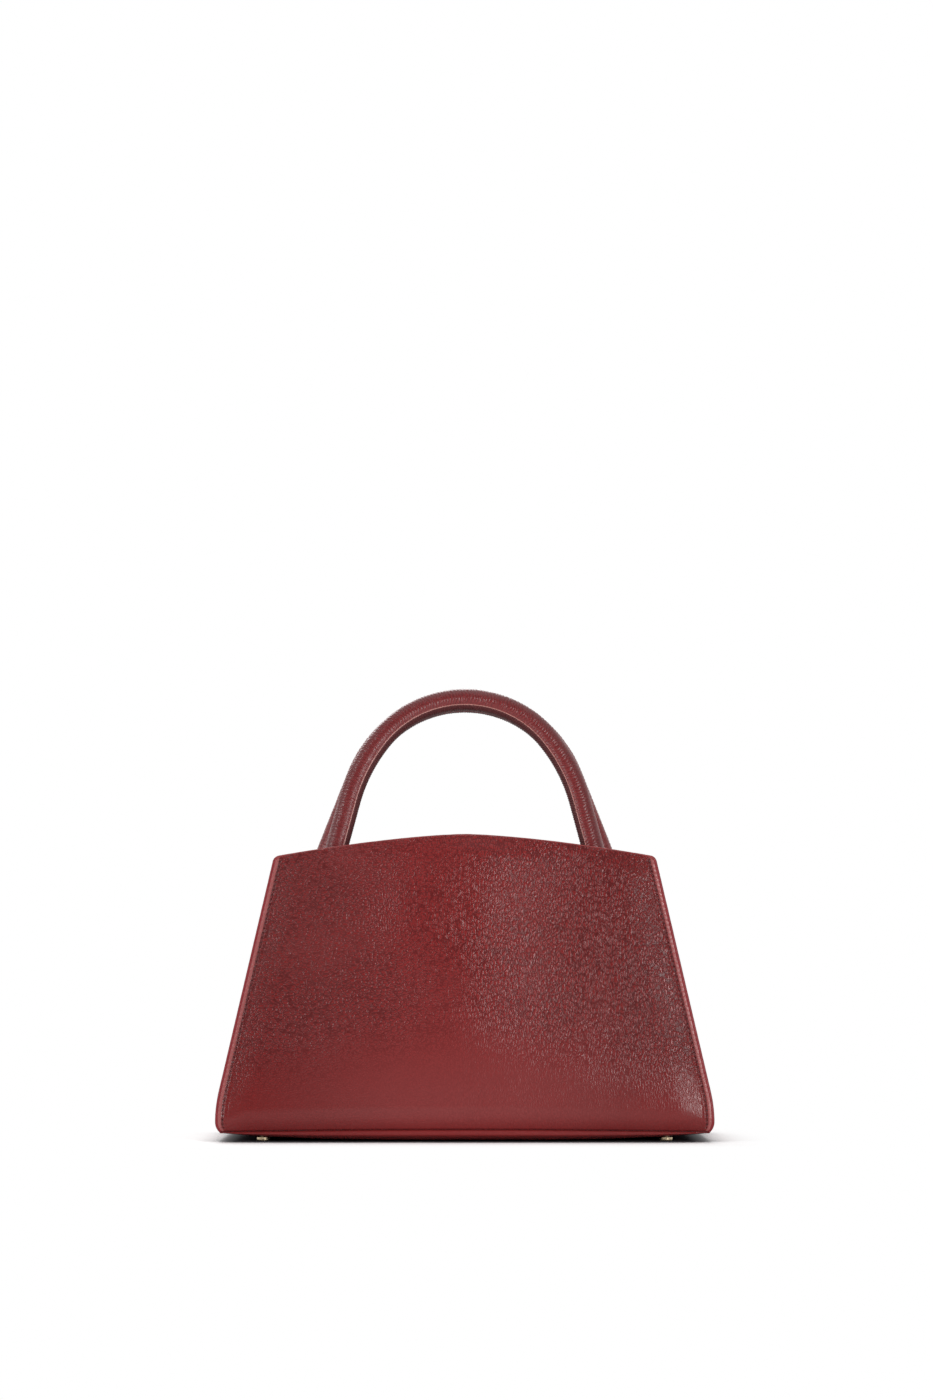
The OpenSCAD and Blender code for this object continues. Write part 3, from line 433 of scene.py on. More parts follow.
class Recipe:
    """The nodes of one material, or of the world."""

    def __init__(self, name, world=False):
        self.owner = bpy.data.worlds.new(name) if world else bpy.data.materials.new(name)
        self.owner.use_nodes = True
        self.tree = self.owner.node_tree
        self.tree.nodes.clear()

    def make(self, kind, settings=None, sockets=None, output=0):
        """Adds a node: its settings first, then the values or wires of its sockets."""
        node = self.tree.nodes.new(kind)
        for key, value in (settings or {}).items():
            setattr(node, key, value)
        for key, value in (sockets or {}).items():
            if isinstance(value, Wire):
                self.tree.links.new(value.socket, node.inputs[key])
            else:
                node.inputs[key].default_value = value
        return Wire(self, node.outputs[output]) if node.outputs else node

    def object_place(self):
        return self.make("ShaderNodeTexCoord", output="Object")

    def parts(self, place):
        """The three coordinates of a place."""
        split = self.make("ShaderNodeSeparateXYZ", None, {0: place}).socket.node
        return [Wire(self, split.outputs[axis]) for axis in "XYZ"]

    def stored(self, name, output="Fac"):
        """A value or vector that the mesh carries."""
        return self.make("ShaderNodeAttribute", {"attribute_name": name}, output=output)

    def scaled(self, place, factors):
        return self.make("ShaderNodeVectorMath", {"operation": "MULTIPLY"}, {0: place, 1: factors})

    def moved(self, place, by):
        return self.make("ShaderNodeVectorMath", {"operation": "ADD"}, {0: place, 1: by})

    def noise(self, place, scale, detail=2.0, roughness=0.5, output="Fac"):
        sockets = {"Vector": place, "Scale": scale, "Detail": detail, "Roughness": roughness}
        return self.make("ShaderNodeTexNoise", None, sockets, output)

    def cells(self, place, scale, feature="DISTANCE_TO_EDGE", randomness=1.0):
        sockets = {"Vector": place, "Scale": scale, "Randomness": randomness}
        return self.make("ShaderNodeTexVoronoi", {"feature": feature}, sockets, "Distance")

    def ranged(self, value, low, high, to_low=0.0, to_high=1.0):
        """A value mapped smoothly from one range to another."""
        sockets = {"Value": value, "From Min": low, "From Max": high, "To Min": to_low, "To Max": to_high}
        return self.make("ShaderNodeMapRange", {"interpolation_type": "SMOOTHSTEP"}, sockets)

    def mixed(self, share, a, b, way="MIX"):
        """Two colours mixed."""
        def ready(colour):
            return colour if isinstance(colour, Wire) else (*colour, 1)

        settings = {"data_type": "RGBA", "blend_type": way}
        return self.make("ShaderNodeMix", settings, {0: share, 6: ready(a), 7: ready(b)}, 2)

    def bumped(self, height, depth, normal=None):
        sockets = {"Height": height, "Strength": 1.0, "Distance": depth}
        if normal is not None:
            sockets["Normal"] = normal
        return self.make("ShaderNodeBump", None, sockets)

    def finish(self, sockets):
        """Ends in the surface shader and gives the material."""
        shader = self.make("ShaderNodeBsdfPrincipled", None, sockets)
        self.make("ShaderNodeOutputMaterial", None, {"Surface": shader})
        return self.owner


def pebbles(recipe, place, size):
    """Height from 0 to 1 of leather's pebbles, in a place that is already stretched."""
    wander = recipe.noise(place, 0.4 / size, 2.0, 0.5, "Color")
    warped = recipe.moved(place, recipe.scaled(wander, (1.1 * size, 1.1 * size, 1.1 * size)))
    crinkle = recipe.noise(place, 1.5 / size, 1.0, 0.5, "Color")
    warped = recipe.moved(warped, recipe.scaled(crinkle, (0.24 * size, 0.24 * size, 0.24 * size)))
    big = 1 - recipe.ranged(recipe.cells(warped, 1 / size), 0.0, 0.42)
    small = 1 - recipe.ranged(recipe.cells(warped, 2.1 / size), 0.0, 0.45)
    return 1 - big * big * 0.82 - small * small * 0.18


def leather(name, look, flat_margin=False):
    """Pebbled leather. Its grain runs across on the left and upright on the right, and is faint low down."""
    r = Recipe(name)
    place = r.object_place()
    x, _, z = r.parts(place)
    lying = pebbles(r, r.scaled(place, LYING), look.grain_size)
    upright = pebbles(r, r.scaled(place, UPRIGHT), look.grain_size)
    drift = r.noise(place, DRIFT_WAVES, 2.0)
    upright_share = r.ranged(x + (drift - 0.5) * TURN_WANDER, TURN_FROM, TURN_TO)
    grain = lying * (1 - upright_share) + upright * upright_share
    worn = r.noise(place, WORN_WAVES, 3.0)
    # The colour is painted palest low in the middle, a painted reflection of the white floor on the lower
    # wall, and the relief fades towards the foot
    floor_sheen_share = r.ranged(z, 0.1, 0.03) * r.ranged(z, 0.006, 0.02) * r.ranged(abs(x), 0.14, 0.06)
    smoothed = r.ranged(z + abs(x) * 0.25, 0.095, 0.045) * 0.78
    depth = (1 - smoothed) * (worn * 0.8 + 0.6)
    if flat_margin:
        depth = depth * (1 - r.stored("margin") * 0.75)
    pores = r.noise(place, PORE_WAVES, 3.0, 0.6)
    relief = grain * depth + pores * 0.08
    # hollow carries painted shade into the valleys between the pebbles
    hollow = r.ranged(grain, 0.05, 0.65, 1.0, 0.0) * (1 - smoothed)
    tone = r.mixed(hollow, r.mixed(floor_sheen_share * 0.7, look.colour, look.floor_sheen_colour), look.valley_shade_and_lump_colour)
    # Painted shade: the leather is made darker towards the sides
    tone = r.mixed(r.ranged(abs(x), 0.02, 0.1), tone, look.side_shade_tint, "MULTIPLY")
    tone = r.mixed(r.ranged(r.noise(place, 22.0, 3.0), 0.4, 0.75) * 0.3, tone, look.worn_colour)
    if flat_margin:
        # Painted highlight on the smooth margin outside the stitches
        tone = r.mixed(r.stored("margin") * 0.7, tone, look.margin_highlight_colour)
        # Painted shade in the stitch holes and, faintly, in their groove
        tone = r.mixed(r.stored("groove"), tone, look.hole_shade_colour)
    rough = 0.34 - grain * 0.08 + (worn - 0.5) * 0.08
    return r.finish({
        "Base Color": tone,
        "Roughness": rough,
        "Specular IOR Level": look.shine,
        "Normal": r.bumped(relief, look.grain_depth),
    })


def creased_leather(name, look):
    """The handles' leather: fine creases across the tube with painted shade in them, a strip beyond the seam
    in painted shade, and a band of painted shade along the outer curve.
    """
    r = Recipe(name)
    along = r.stored("along", "Vector")
    creases = r.noise(r.scaled(along, (1.0, 0.2, 1.0)), 760.0, 2.0, 0.55)
    fine = r.noise(r.scaled(along, (1.0, 0.4, 1.0)), 1900.0, 2.0, 0.6)
    grain = pebbles(r, r.scaled(along, ALONG_HANDLE), look.grain_size * 0.8)
    height = creases * 0.5 + fine * 0.3 + grain * 0.25
    under_side = r.stored("underside")
    edge = r.stored("ridge")
    crease = r.stored("crease")
    # Painted shade in the creases of the handles
    tone = r.mixed(r.ranged(crease + (creases - 0.5) * 0.8, -0.8, 0.7), look.crease_shade_colour, look.crest_colour)
    tone = r.mixed(r.noise(along, 60.0, 2.0) * 0.3, tone, look.worn_colour)
    # A band of painted shade along the outer curve of the handles
    tone = r.mixed(r.stored("shoulder") * 0.7, tone, look.shoulder_shade_colour)
    # Painted shade on the strip beyond the seam, which faces down
    tone = r.mixed(under_side * 0.75, tone, look.shade_colour)
    # The seam's edge paint, painted pale as a highlight along its ridge
    tone = r.mixed(edge, tone, look.seam_paint_highlight)
    return r.finish({
        "Base Color": tone,
        "Roughness": 0.38 + under_side * 0.3 + (grain - 0.5) * 0.08,
        "Specular IOR Level": look.handle_shine,
        "Normal": r.bumped(height * (1 - edge), look.grain_depth * 0.8),
    })


def edge_paint(name, colour):
    """Lacquer on cut edges: smooth, slightly uneven and glossier than the leather."""
    r = Recipe(name)
    place = r.object_place()
    lumps = r.noise(place, 420.0, 3.0, 0.6)
    tone = r.mixed(r.ranged(lumps, 0.3, 0.75), colour, [c * 0.82 for c in colour])
    return r.finish({
        "Base Color": tone,
        "Roughness": 0.34 + lumps * 0.12,
        "Coat Weight": 0.15,
        "Normal": r.bumped(lumps, 0.12 * MM),
    })


def thread(name, colour):
    """Waxed thread: twisted plies and a soft shine."""
    r = Recipe(name)
    place = r.object_place()
    plies = r.noise(r.scaled(place, (1.0, 1.0, 0.5)), 2400.0, 2.0)
    tone = r.mixed(plies, [c * 0.7 for c in colour], colour)
    rough = 0.45 + plies * 0.15
    return r.finish({"Base Color": tone, "Roughness": rough, "Normal": r.bumped(plies, 0.1 * MM)})


def woven(name, colour, dark, pitch):
    """Lining cloth: warp and weft crossing over and under."""
    r = Recipe(name)
    place = r.object_place()
    x, y, z = r.parts(place)
    warp, weft = ((way + y) * (2 * math.pi / pitch) for way in (x, z))
    cross = warp.math("SINE", warp) * weft.math("SINE", weft)
    slub = r.noise(r.scaled(place, (0.3, 1.0, 2.5)), 500.0, 3.0)
    height = abs(cross) * 0.5 + slub * 0.5
    tone = r.mixed(r.ranged(height, 0.15, 0.75), dark, colour)
    return r.finish({
        "Base Color": tone,
        "Roughness": 0.88 - slub * 0.1,
        "Sheen Weight": 0.25,
        "Sheen Roughness": 0.5,
        "Normal": r.bumped(height, 0.12 * MM),
    })


def plated(name, colour, rough):
    """Pale gold plate: polished, with a trace of fine scratches."""
    r = Recipe(name)
    place = r.object_place()
    smears = r.noise(place, 120.0, 3.0, 0.55)
    lines = r.noise(r.scaled(place, (1.0, 1.0, 0.08)), 3200.0, 2.0)
    tone = r.mixed(smears * 0.35, colour, [c * 0.86 for c in colour])
    return r.finish({
        "Base Color": tone,
        "Metallic": 1.0,
        "Roughness": rough + smears * 0.07 + lines * 0.03,
        "Normal": r.bumped(lines, 0.004 * MM),
    })


def pressed_board(name):
    """Grey-brown pressed board with short fibres."""
    r = Recipe(name)
    place = r.object_place()
    fibres = r.noise(r.scaled(place, (1.0, 3.0, 1.0)), 700.0, 5.0, 0.7)
    tone = r.mixed(r.ranged(fibres, 0.3, 0.7), paint(150, 132, 108), paint(184, 168, 142))
    return r.finish({"Base Color": tone, "Roughness": 0.9, "Normal": r.bumped(fibres, 0.1 * MM)})


def cotton(name):
    """Cotton yarn of the cords in the handles."""
    r = Recipe(name)
    place = r.object_place()
    fuzz = r.noise(place, 1800.0, 4.0, 0.7)
    tone = r.mixed(fuzz, paint(198, 186, 160), paint(232, 224, 204))
    return r.finish({"Base Color": tone, "Roughness": 0.92, "Normal": r.bumped(fuzz, 0.15 * MM)})


# Settings


def a_colour(name, description, red, green, blue):
    """A colour setting. Its default is given from 0 to 255 as a screen shows it."""
    return FloatVectorProperty(
        name=name, description=description, default=paint(red, green, blue), subtype="COLOR"
    )


def a_length(name, description, default):
    """A length setting. Its default is given in millimetres."""
    return FloatProperty(name=name, description=description, default=default * MM, subtype="DISTANCE")


def a_share(name, description, default):
    """A setting from 0 to 1."""
    return FloatProperty(
        name=name, description=description, default=default, min=0.0, max=1.0, subtype="FACTOR"
    )


def a_power(name, description, default):
    """The power of a lamp, in watts."""
    return FloatProperty(name=name, description=description, default=default, unit="POWER")


class BagLeather(PropertyGroup):
    """The outer leather."""

    colour: a_colour("Colour", "Colour of the pebbles", 132, 38, 38)
    # Painted shade in the valleys between the pebbles; the edge paint also takes it for its uneven lumps
    valley_shade_and_lump_colour: a_colour("Valleys", "Colour between the pebbles", 95, 23, 24)
    # Painted reflection of the white floor, low in the middle of the panels
    floor_sheen_colour: a_colour("Smooth places", "Colour where the grain is faint", 135, 57, 57)
    # Painted shade towards the sides of the panels
    side_shade_tint: FloatVectorProperty(
        name="Sides", description="Tint of the leather towards the sides", default=(0.8, 0.79, 0.79),
        subtype="COLOR",
    )
    worn_colour: a_colour("Handled", "Colour where hands have dulled it", 130, 44, 44)
    # Painted shade in the handles' creases
    crease_shade_colour: a_colour("Creases", "Colour in the creases of the handles", 100, 22, 24)
    crest_colour: a_colour("Crests", "Colour between the creases of the handles", 122, 33, 35)
    # A band of painted shade along the outer curve of the handles
    shoulder_shade_colour: a_colour("Outer curve", "Colour along the outer curve of the handles", 88, 14, 18)
    # Painted shade on the strip beyond the handles' seam
    shade_colour: a_colour("Strip", "Colour of the strip beyond the handles' seam", 60, 16, 18)
    # Painted shade in the stitch holes
    hole_shade_colour: a_colour("Holes", "Colour in the stitch holes", 44, 10, 12)
    edge_dark: a_colour("Edge paint", "Colour of the painted edges", 132, 34, 40)
    # Painted highlight on the margin outside the stitches, also mixed into the top of the edge paint
    margin_highlight_colour: a_colour("Margin", "Colour of the smooth margin outside the stitches", 172, 98, 97)
    # Edge paint on the handles' seam ridge, painted pale as a highlight
    seam_paint_highlight: a_colour("Handle seam", "Colour of the painted seam on the handles", 214, 158, 148)
    thread_colour: a_colour("Thread", "Colour of the stitches", 112, 36, 38)
    grain_size: a_length("Grain", "Width of a pebble of the grain", 2.0)
    grain_depth: a_length("Grain depth", "Relief of the grain", 0.22)
    shine: a_share("Shine", "Shine of the leather", 0.31)
    handle_shine: a_share("Handle shine", "Shine of the handles, rubbed by hands", 0.5)


class BagShape(PropertyGroup):
    """How the soft parts stand."""

    stitch_pitch: a_length("Stitch", "Length of one stitch inside the bag", 3.2)
    stitch_in: a_length("Stitch line", "Distance of the stitches from the edge", 4)
    thread_r: a_length("Thread", "Radius of the sewing thread", 0.34)
    swell: a_length("Swell", "How far the panels swell out", 2.6)
    crease_depth: a_length("Creases", "Depth of the creases round the handles", 0.16)
    gusset_slack: a_length("Slack", "Depth of the gussets' soft waves", 0.5)


class BagStage(PropertyGroup):
    """Camera and lamps."""

    camera_far: a_length("Camera", "Distance of the camera from the bag", 2043)
    camera_up: a_length("Camera height", "Height of the camera", 109.4)
    top_lamp: a_power("Top lamp", "Power of the soft lamp above", 4.0)
    main_lamp: a_power("Main lamp", "Power of the lamp in front, to the right", 18.5)
    fill_lamp: a_power("Fill lamp", "Power of the lamp in front, to the left", 12.5)
    back_lamp: a_power("Back lamp", "Power of the soft lamp above and behind", 10.0)
    front_room: a_share("Room in front", "How bright the room in front of the bag looks in its shine", 0.16)
    room: a_share("Room", "Strength of the light that comes from all round", 0.2)


def settings():
    """The three groups of settings."""
    scene = bpy.context.scene
    return scene.bag_leather, scene.bag_shape, scene.bag_stage


def material(name, maker, *values):
    """The material of that name, made when it is first asked for."""
    found = bpy.data.materials.get(name)
    return found or maker(name, *values)


def body_leather():
    return material("grained_leather", leather, settings()[0], True)


def plain_leather():
    return material("grained_leather_plain", leather, settings()[0])


def painted_edges():
    return material("edge_paint", edge_paint, list(settings()[0].edge_dark))


def lining_cloth():
    return material("lining_cloth", woven, paint(112, 92, 78), paint(66, 52, 44), 0.9 * MM)


def tape_cloth():
    return material("zip_tape_cloth", woven, paint(84, 26, 30), paint(48, 14, 17), 0.6 * MM)


def sewing_thread():
    return material("sewing_thread", thread, list(settings()[0].thread_colour))


# Walls

EDGE_BAND = 8 * MM
EDGE_STEP = 0.36 * MM
WALL_STEP = 1.6 * MM
ROW_STEP = 0.8 * MM
RIM_BAND = 3 * MM
RIM_STEP = 0.3 * MM
SETTLING_ROUNDS = 6
# A stitch of the panels and the gussets is this many rows of points long
STITCH_ROWS = 4
MOST_SINK = 0.4 * MM
HEM_STITCH_IN = 2.6 * MM
HEM_THREAD = 0.8

# Soft waves of the panels: place across and up, half size across and up, and height, in millimetres
FRONT_WAVES = (
    (8, 152, 22, 60, 2.4), (-34, 142, 24, 50, -2.2), (62, 140, 24, 58, -2.4), (-98, 130, 22, 46, 0.9),
    (106, 130, 20, 50, 0.9), (0, 38, 110, 17, 1.8), (-62, 80, 34, 22, -0.9), (68, 78, 36, 24, -1.0),
)
BACK_WAVES = (
    (-34, 150, 24, 36, 1.5), (40, 140, 30, 34, -1.5), (-88, 110, 28, 40, -1.0), (90, 112, 30, 30, 0.9),
    (6, 80, 40, 24, 1.1), (-50, 40, 60, 16, 1.2), (60, 36, 50, 14, 1.0),
)


def wall_grid(side_in, low, high, step, band=0.0, band_step=0.0, rim=0.0, row_step=None):
    """Places (x, z) of a sheet of wall, and their distances from its side, top and foot.

    The columns keep their distance from the side edges within a band, and the rows from the top
    and the foot within a rim. low and high give the foot and the top edge across the bag."""
    inner = steps(0, band, band_step)[:-1] if band else np.zeros(0)
    share = steps(-1, 1, 2 * step / BODY_W)
    count = len(inner)
    ends = steps(0, rim, RIM_STEP)[:-1] if rim else np.zeros(0)
    middle = steps(0, 1, (row_step or step) / (CROWN_Z - SEAM_Z))
    rows = len(middle) + 2 * len(ends)
    z = np.linspace(SEAM_Z, CORNER_Z, rows)[:, None] * np.ones(2 * count + len(share))
    # The width depends on the height and the height on the width, so both settle in a few rounds
    for _ in range(SETTLING_ROUNDS):
        half = side_x(z) - side_in
        x = np.concatenate([
            -(half[:, :count] - inner), (half[:, count:-count or None] - band) * share,
            half[:, z.shape[1] - count:] - inner[::-1],
        ], axis=1)
        foot, top = low(x), high(x) - edge_fall(half - np.abs(x), TOP_CORNER_R)
        z = np.concatenate([
            foot[:1] + ends[:, None],
            foot[:1] + rim + (top[-1:] - foot[:1] - 2 * rim) * middle[:, None],
            top[-1:] - ends[::-1, None],
        ])
    return x, z, side_x(z) - side_in - np.abs(x), top[-1:] - z, z - foot[:1]


def wall_points(x, z, side, depth, lift=0.0):
    """Points of a sheet at a depth inside the wall on one side of the bag, raised outwards by lift."""
    r = TURN_R - depth
    on_turn = np.arcsin(np.clip((z - TURN_C[1]) / r, -1, 1))
    angle = np.where(z >= TURN_C[1] + r * math.sin(WALL_LEAN), WALL_LEAN, on_turn)
    out = wall_y(z, depth) + lift * np.cos(angle)
    return np.stack([x, side * out, z + lift * np.sin(angle)], axis=2)


def panel_lift(x, z, from_side, from_top, from_foot, waves, shape):
    """Soft form of a panel's face, without its stitches."""
    reach = smooth(from_side / (22 * MM)) * smooth(from_foot / (14 * MM))
    reach = reach * smooth((from_top + 4 * MM) / (18 * MM))
    lift = shape.swell * reach
    for wx, wz, sx, sz, high in waves:
        lift = lift + high * MM * mound(x - wx * MM, sx * MM) * mound(z - wz * MM, sz * MM) * reach
    points = np.stack([x, 0 * x, z], axis=2)
    lift = lift + 0.28 * MM * reach * ripple(points, 26.0, len(waves))
    # The leather never sinks into the board under it, which starts some way in from the sewn edge
    return np.maximum(lift, -MOST_SINK) + 0.12 * MM * smooth((from_side - 6 * MM) / (3 * MM))


def panel_piece(name, side, waves):
    """A panel's leather with its sewn margin, its two rows of stitches and its edge paint."""
    shape = settings()[1]
    x, z, from_side, from_top, from_foot = wall_grid(
        0.0, seam, crown, WALL_STEP, EDGE_BAND, EDGE_STEP, RIM_BAND, ROW_STEP
    )
    lift = panel_lift(x, z, from_side, from_top, from_foot, waves, shape)
    # The stitches lie in a groove, deepest at their holes, that stops short of the top and the foot
    line = np.abs(from_side - shape.stitch_in)
    groove = mound(line, 0.55 * MM)
    start = round(RIM_BAND / RIM_STEP) + 2
    count = np.arange(z.shape[0]) - start
    beside = np.where(count % STITCH_ROWS == STITCH_ROWS / 2, 0, 0.15)
    at_hole = np.where(count % STITCH_ROWS == 0, 1.0, beside)[:, None]
    sewn = smooth((from_top - 1.5 * MM) / MM) * smooth((from_foot - 1.5 * MM) / MM)
    lift = lift - groove * sewn * (0.2 + 0.42 * at_hole) * MM
    # margin also carries the painted highlight of the margin outside the stitches
    margin = smooth((shape.stitch_in - 0.4 * MM - from_side) / (0.8 * MM))
    # The leather puffs up on both sides of the stitches, and most at the middle of each
    scallop = (0.55 - 0.45 * np.cos(2 * math.pi * count / STITCH_ROWS))[:, None]
    inner_puff = mound(from_side - shape.stitch_in - 1.5 * MM, 0.9 * MM)
    lift = lift + 0.45 * MM * scallop * (mound(from_side - 2.6 * MM, 0.9 * MM) + 0.7 * inner_puff) * sewn
    # A faint crease runs some way inside the stitches
    crease = mound(from_side - 6.8 * MM, 0.5 * MM) * sewn * (0.6 + 0.4 * np.sin(z / (7 * MM)))
    lift = lift - 0.14 * MM * crease - edge_fall(from_side, 1.1 * MM)
    lift = lift - edge_fall(from_top, 0.8 * MM) - edge_fall(from_foot, 1.3 * MM)
    face = wall_points(x, z, side, 0.0, lift)
    back = wall_points(x, z, side, LEATHER_T)
    flat = wall_points(x, z, side, 0.0)
    # hole and groove carry painted shade into the stitch holes and their groove
    hole = mound(line, 0.5 * MM) * at_hole * sewn
    values = {"margin": margin, "groove": np.clip(hole * 1.4 + groove * sewn * 0.06, 0, 1)}
    leather_piece(name + "_leather", face, back, name, cover=body_leather(), values=values)

    # One row of stitches up each side, in the columns nearest to the stitch line
    rows = np.arange(start, z.shape[0] - start, STITCH_ROWS)
    band = from_side[rows[0], : round(EDGE_BAND / EDGE_STEP)]
    column = int(np.argmin(np.abs(band - shape.stitch_in)))
    normals = facing_way(grid_normals(flat), (0, side, 0))
    runs = [
        (flat[rows, c] - normals[rows, c] * 0.05 * MM, normals[rows, c])
        for c in (column, z.shape[1] - 1 - column)
    ]
    sew(name + "_stitches", runs, shape.thread_r, 0.3 * MM)
    edge_piece(name + "_edge", flat, normals)


# Section of the edge paint: in from the panel's edge, and out from its face, in millimetres
EDGE_IN = (-1.4, -1.25, -0.8, -0.25, 0.18, 0.4, 0.4, 0.18, -0.25, -0.8, -1.25, -1.4)
EDGE_OUT = (0.0, 0.1, 0.17, 0.13, -0.1, -0.5)


def edge_piece(name, flat, normals):
    """Lacquer that runs up one side edge, over the top and down the other side."""
    loop, out = (np.concatenate([g[:, 0], g[-1, 1:-1], g[::-1, -1]]) for g in (flat, normals))
    away = unit(np.cross(out, unit(np.gradient(loop, axis=0))))
    away = away if away[0, 0] < 0 else -away
    x, z = np.abs(loop[:, 0]), loop[:, 2]
    # It covers the panel alone, the panel and the gusset, or the whole stack with the facing
    top = smooth((z - GUSSET_TOP_Z) / (5 * MM)) * smooth((HALF_TOP - SIDE_IN + 2 * MM - x) / (4 * MM))
    below = smooth((GUSSET_TOP_Z + MM - z) / (2 * MM))
    thick = LEATHER_T + below * (LEATHER_T + SEWN_GAP) + top * (STACK_FACING - LEATHER_T)
    on_top = smooth((z - CORNER_Z + 2 * MM) / (3 * MM)) * smooth((HALF_TOP - 1.5 * MM - x) / (3 * MM))
    front = [(1 - 0.5 * on_top) * high * MM for high in EDGE_OUT]
    lifts = front + [-thick - high * MM for high in EDGE_OUT[::-1]]
    rings = []
    for inward, lift in zip(EDGE_IN, lifts):
        reach = (1 - 0.55 * on_top)[:, None] if inward < 0 else 1
        rings.append(loop + away * (inward * MM) * reach + out * lift[:, None])
    rings = np.stack(rings, axis=1)
    wobble = 0.05 * MM * ripple(rings, 260.0, 3.0)
    rings = rings + away[:, None] * wobble[:, :, None]
    # lit marks the top, where the edge paint is painted paler as a highlight
    lit = np.repeat(smooth((z - CORNER_Z + 4 * MM) / (5 * MM))[:, None], len(EDGE_IN), axis=1)
    paint_layer = material("panel_edge_paint", two_tone_edge, settings()[0])
    dress(tube_piece(name, rings, paint_layer, {"lit": lit}), "leather")


def two_tone_edge(name, look):
    """Edge paint that is bright down the sides and closer to the leather along the top, where it is painted
    paler as a highlight.
    """
    r = Recipe(name)
    lumps = r.noise(r.object_place(), 420.0, 3.0, 0.6)
    top = r.mixed(0.3, list(look.colour), list(look.margin_highlight_colour))
    tone = r.mixed(r.stored("lit"), list(look.edge_dark), top)
    tone = r.mixed(r.ranged(lumps, 0.4, 0.8) * 0.3, tone, list(look.valley_shade_and_lump_colour))
    return r.finish({
        "Base Color": tone,
        "Roughness": 0.36 + lumps * 0.14,
        "Specular IOR Level": look.shine,
        "Normal": r.bumped(lumps, 0.1 * MM),
    })


class BAG_OT_panels(Operator):
    """Makes the front and back panels with their sewn margins and painted edges"""

    bl_idname = "bag.panels"
    bl_label = "Panels"

    def execute(self, context):
        panel_piece("front_panel", -1, FRONT_WAVES)
        panel_piece("back_panel", 1, BACK_WAVES)
        return {"FINISHED"}


class BAG_OT_walls_inside(Operator):
    """Makes the leather facings and the linings inside the walls"""

    bl_idname = "bag.walls_inside"
    bl_label = "Facings and wall linings"

    def execute(self, context):
        for side, end in ((-1, "front"), (1, "back")):
            self.facing(end, side)
            self.lining(end, side)
        return {"FINISHED"}

    def facing(self, end, side):
        """The leather strip round the mouth, with a row of stitches along its foot."""
        x, z, _, from_top, from_foot = wall_grid(
            SIDE_IN, lambda v: crown(v) - FACING_H, crown, step=2.4 * MM, band=4 * MM, band_step=0.8 * MM,
            rim=2 * MM, row_step=0.8 * MM,
        )
        puff = mound(from_foot - 1.2 * MM, 1.0 * MM) - 1.6 * mound(from_foot - HEM_STITCH_IN, 0.5 * MM)
        lift = -0.1 * MM * puff + edge_fall(from_foot, 0.6 * MM) + edge_fall(from_top, 0.5 * MM)
        inside = wall_points(x, z, side, STACK_FACING, lift)
        outside = wall_points(x, z, side, STACK_IN)
        leather_piece(end + "_facing_leather", inside, outside, end + "_facing")
        line = wall_points(x, z, side, STACK_FACING)
        row = int(np.argmin(np.abs(from_foot[:, 10] - HEM_STITCH_IN)))
        sew_inside(end + "_facing_stitches", line[row], side, 0.22 * MM)

    def lining(self, end, side):
        """The cloth below the facing."""
        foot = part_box(end + "_lining")[0].z - float(seam(HALF_W - SIDE_IN))
        x, z, from_side, from_top, from_foot = wall_grid(
            SIDE_IN, lambda v: seam(v) + foot, lambda v: crown(v) - FACING_H - SEWN_GAP, step=3 * MM
        )
        middle = smooth(from_side / (20 * MM)) * smooth(from_foot / (20 * MM)) * smooth(from_top / (16 * MM))
        lift = 0.12 * MM * middle * ripple(np.stack([x, 0 * x, z], axis=2), (30.0, 30.0, 18.0), side)
        inside = wall_points(x, z, side, STACK_IN + LINING_T, -np.abs(lift))
        outside = wall_points(x, z, side, STACK_IN)
        sheet = sheet_piece(end + "_lining_cloth", inside, outside, [lining_cloth()])
        dress(sheet, "lining", end + "_lining")


def sew_inside(name, line, side, rise):
    """An even row of stitches along a line on a wall, seen from inside the bag."""
    shape = settings()[1]
    run = even_run(line, shape.stitch_pitch)
    inwards = np.tile([0, -side * math.cos(WALL_LEAN), -math.sin(WALL_LEAN)], (len(run), 1))
    sew(name, [(run, inwards)], shape.thread_r * HEM_THREAD, rise)


# Base

BASE_TURN_POINTS = 30
BASE_FLAT_POINTS = 44
# Rim of the base's end wall, turned in: inwards and up, in millimetres
END_RIM = ((0.7, 0.15), (1.6, 0.2), (4.0, 0.0))


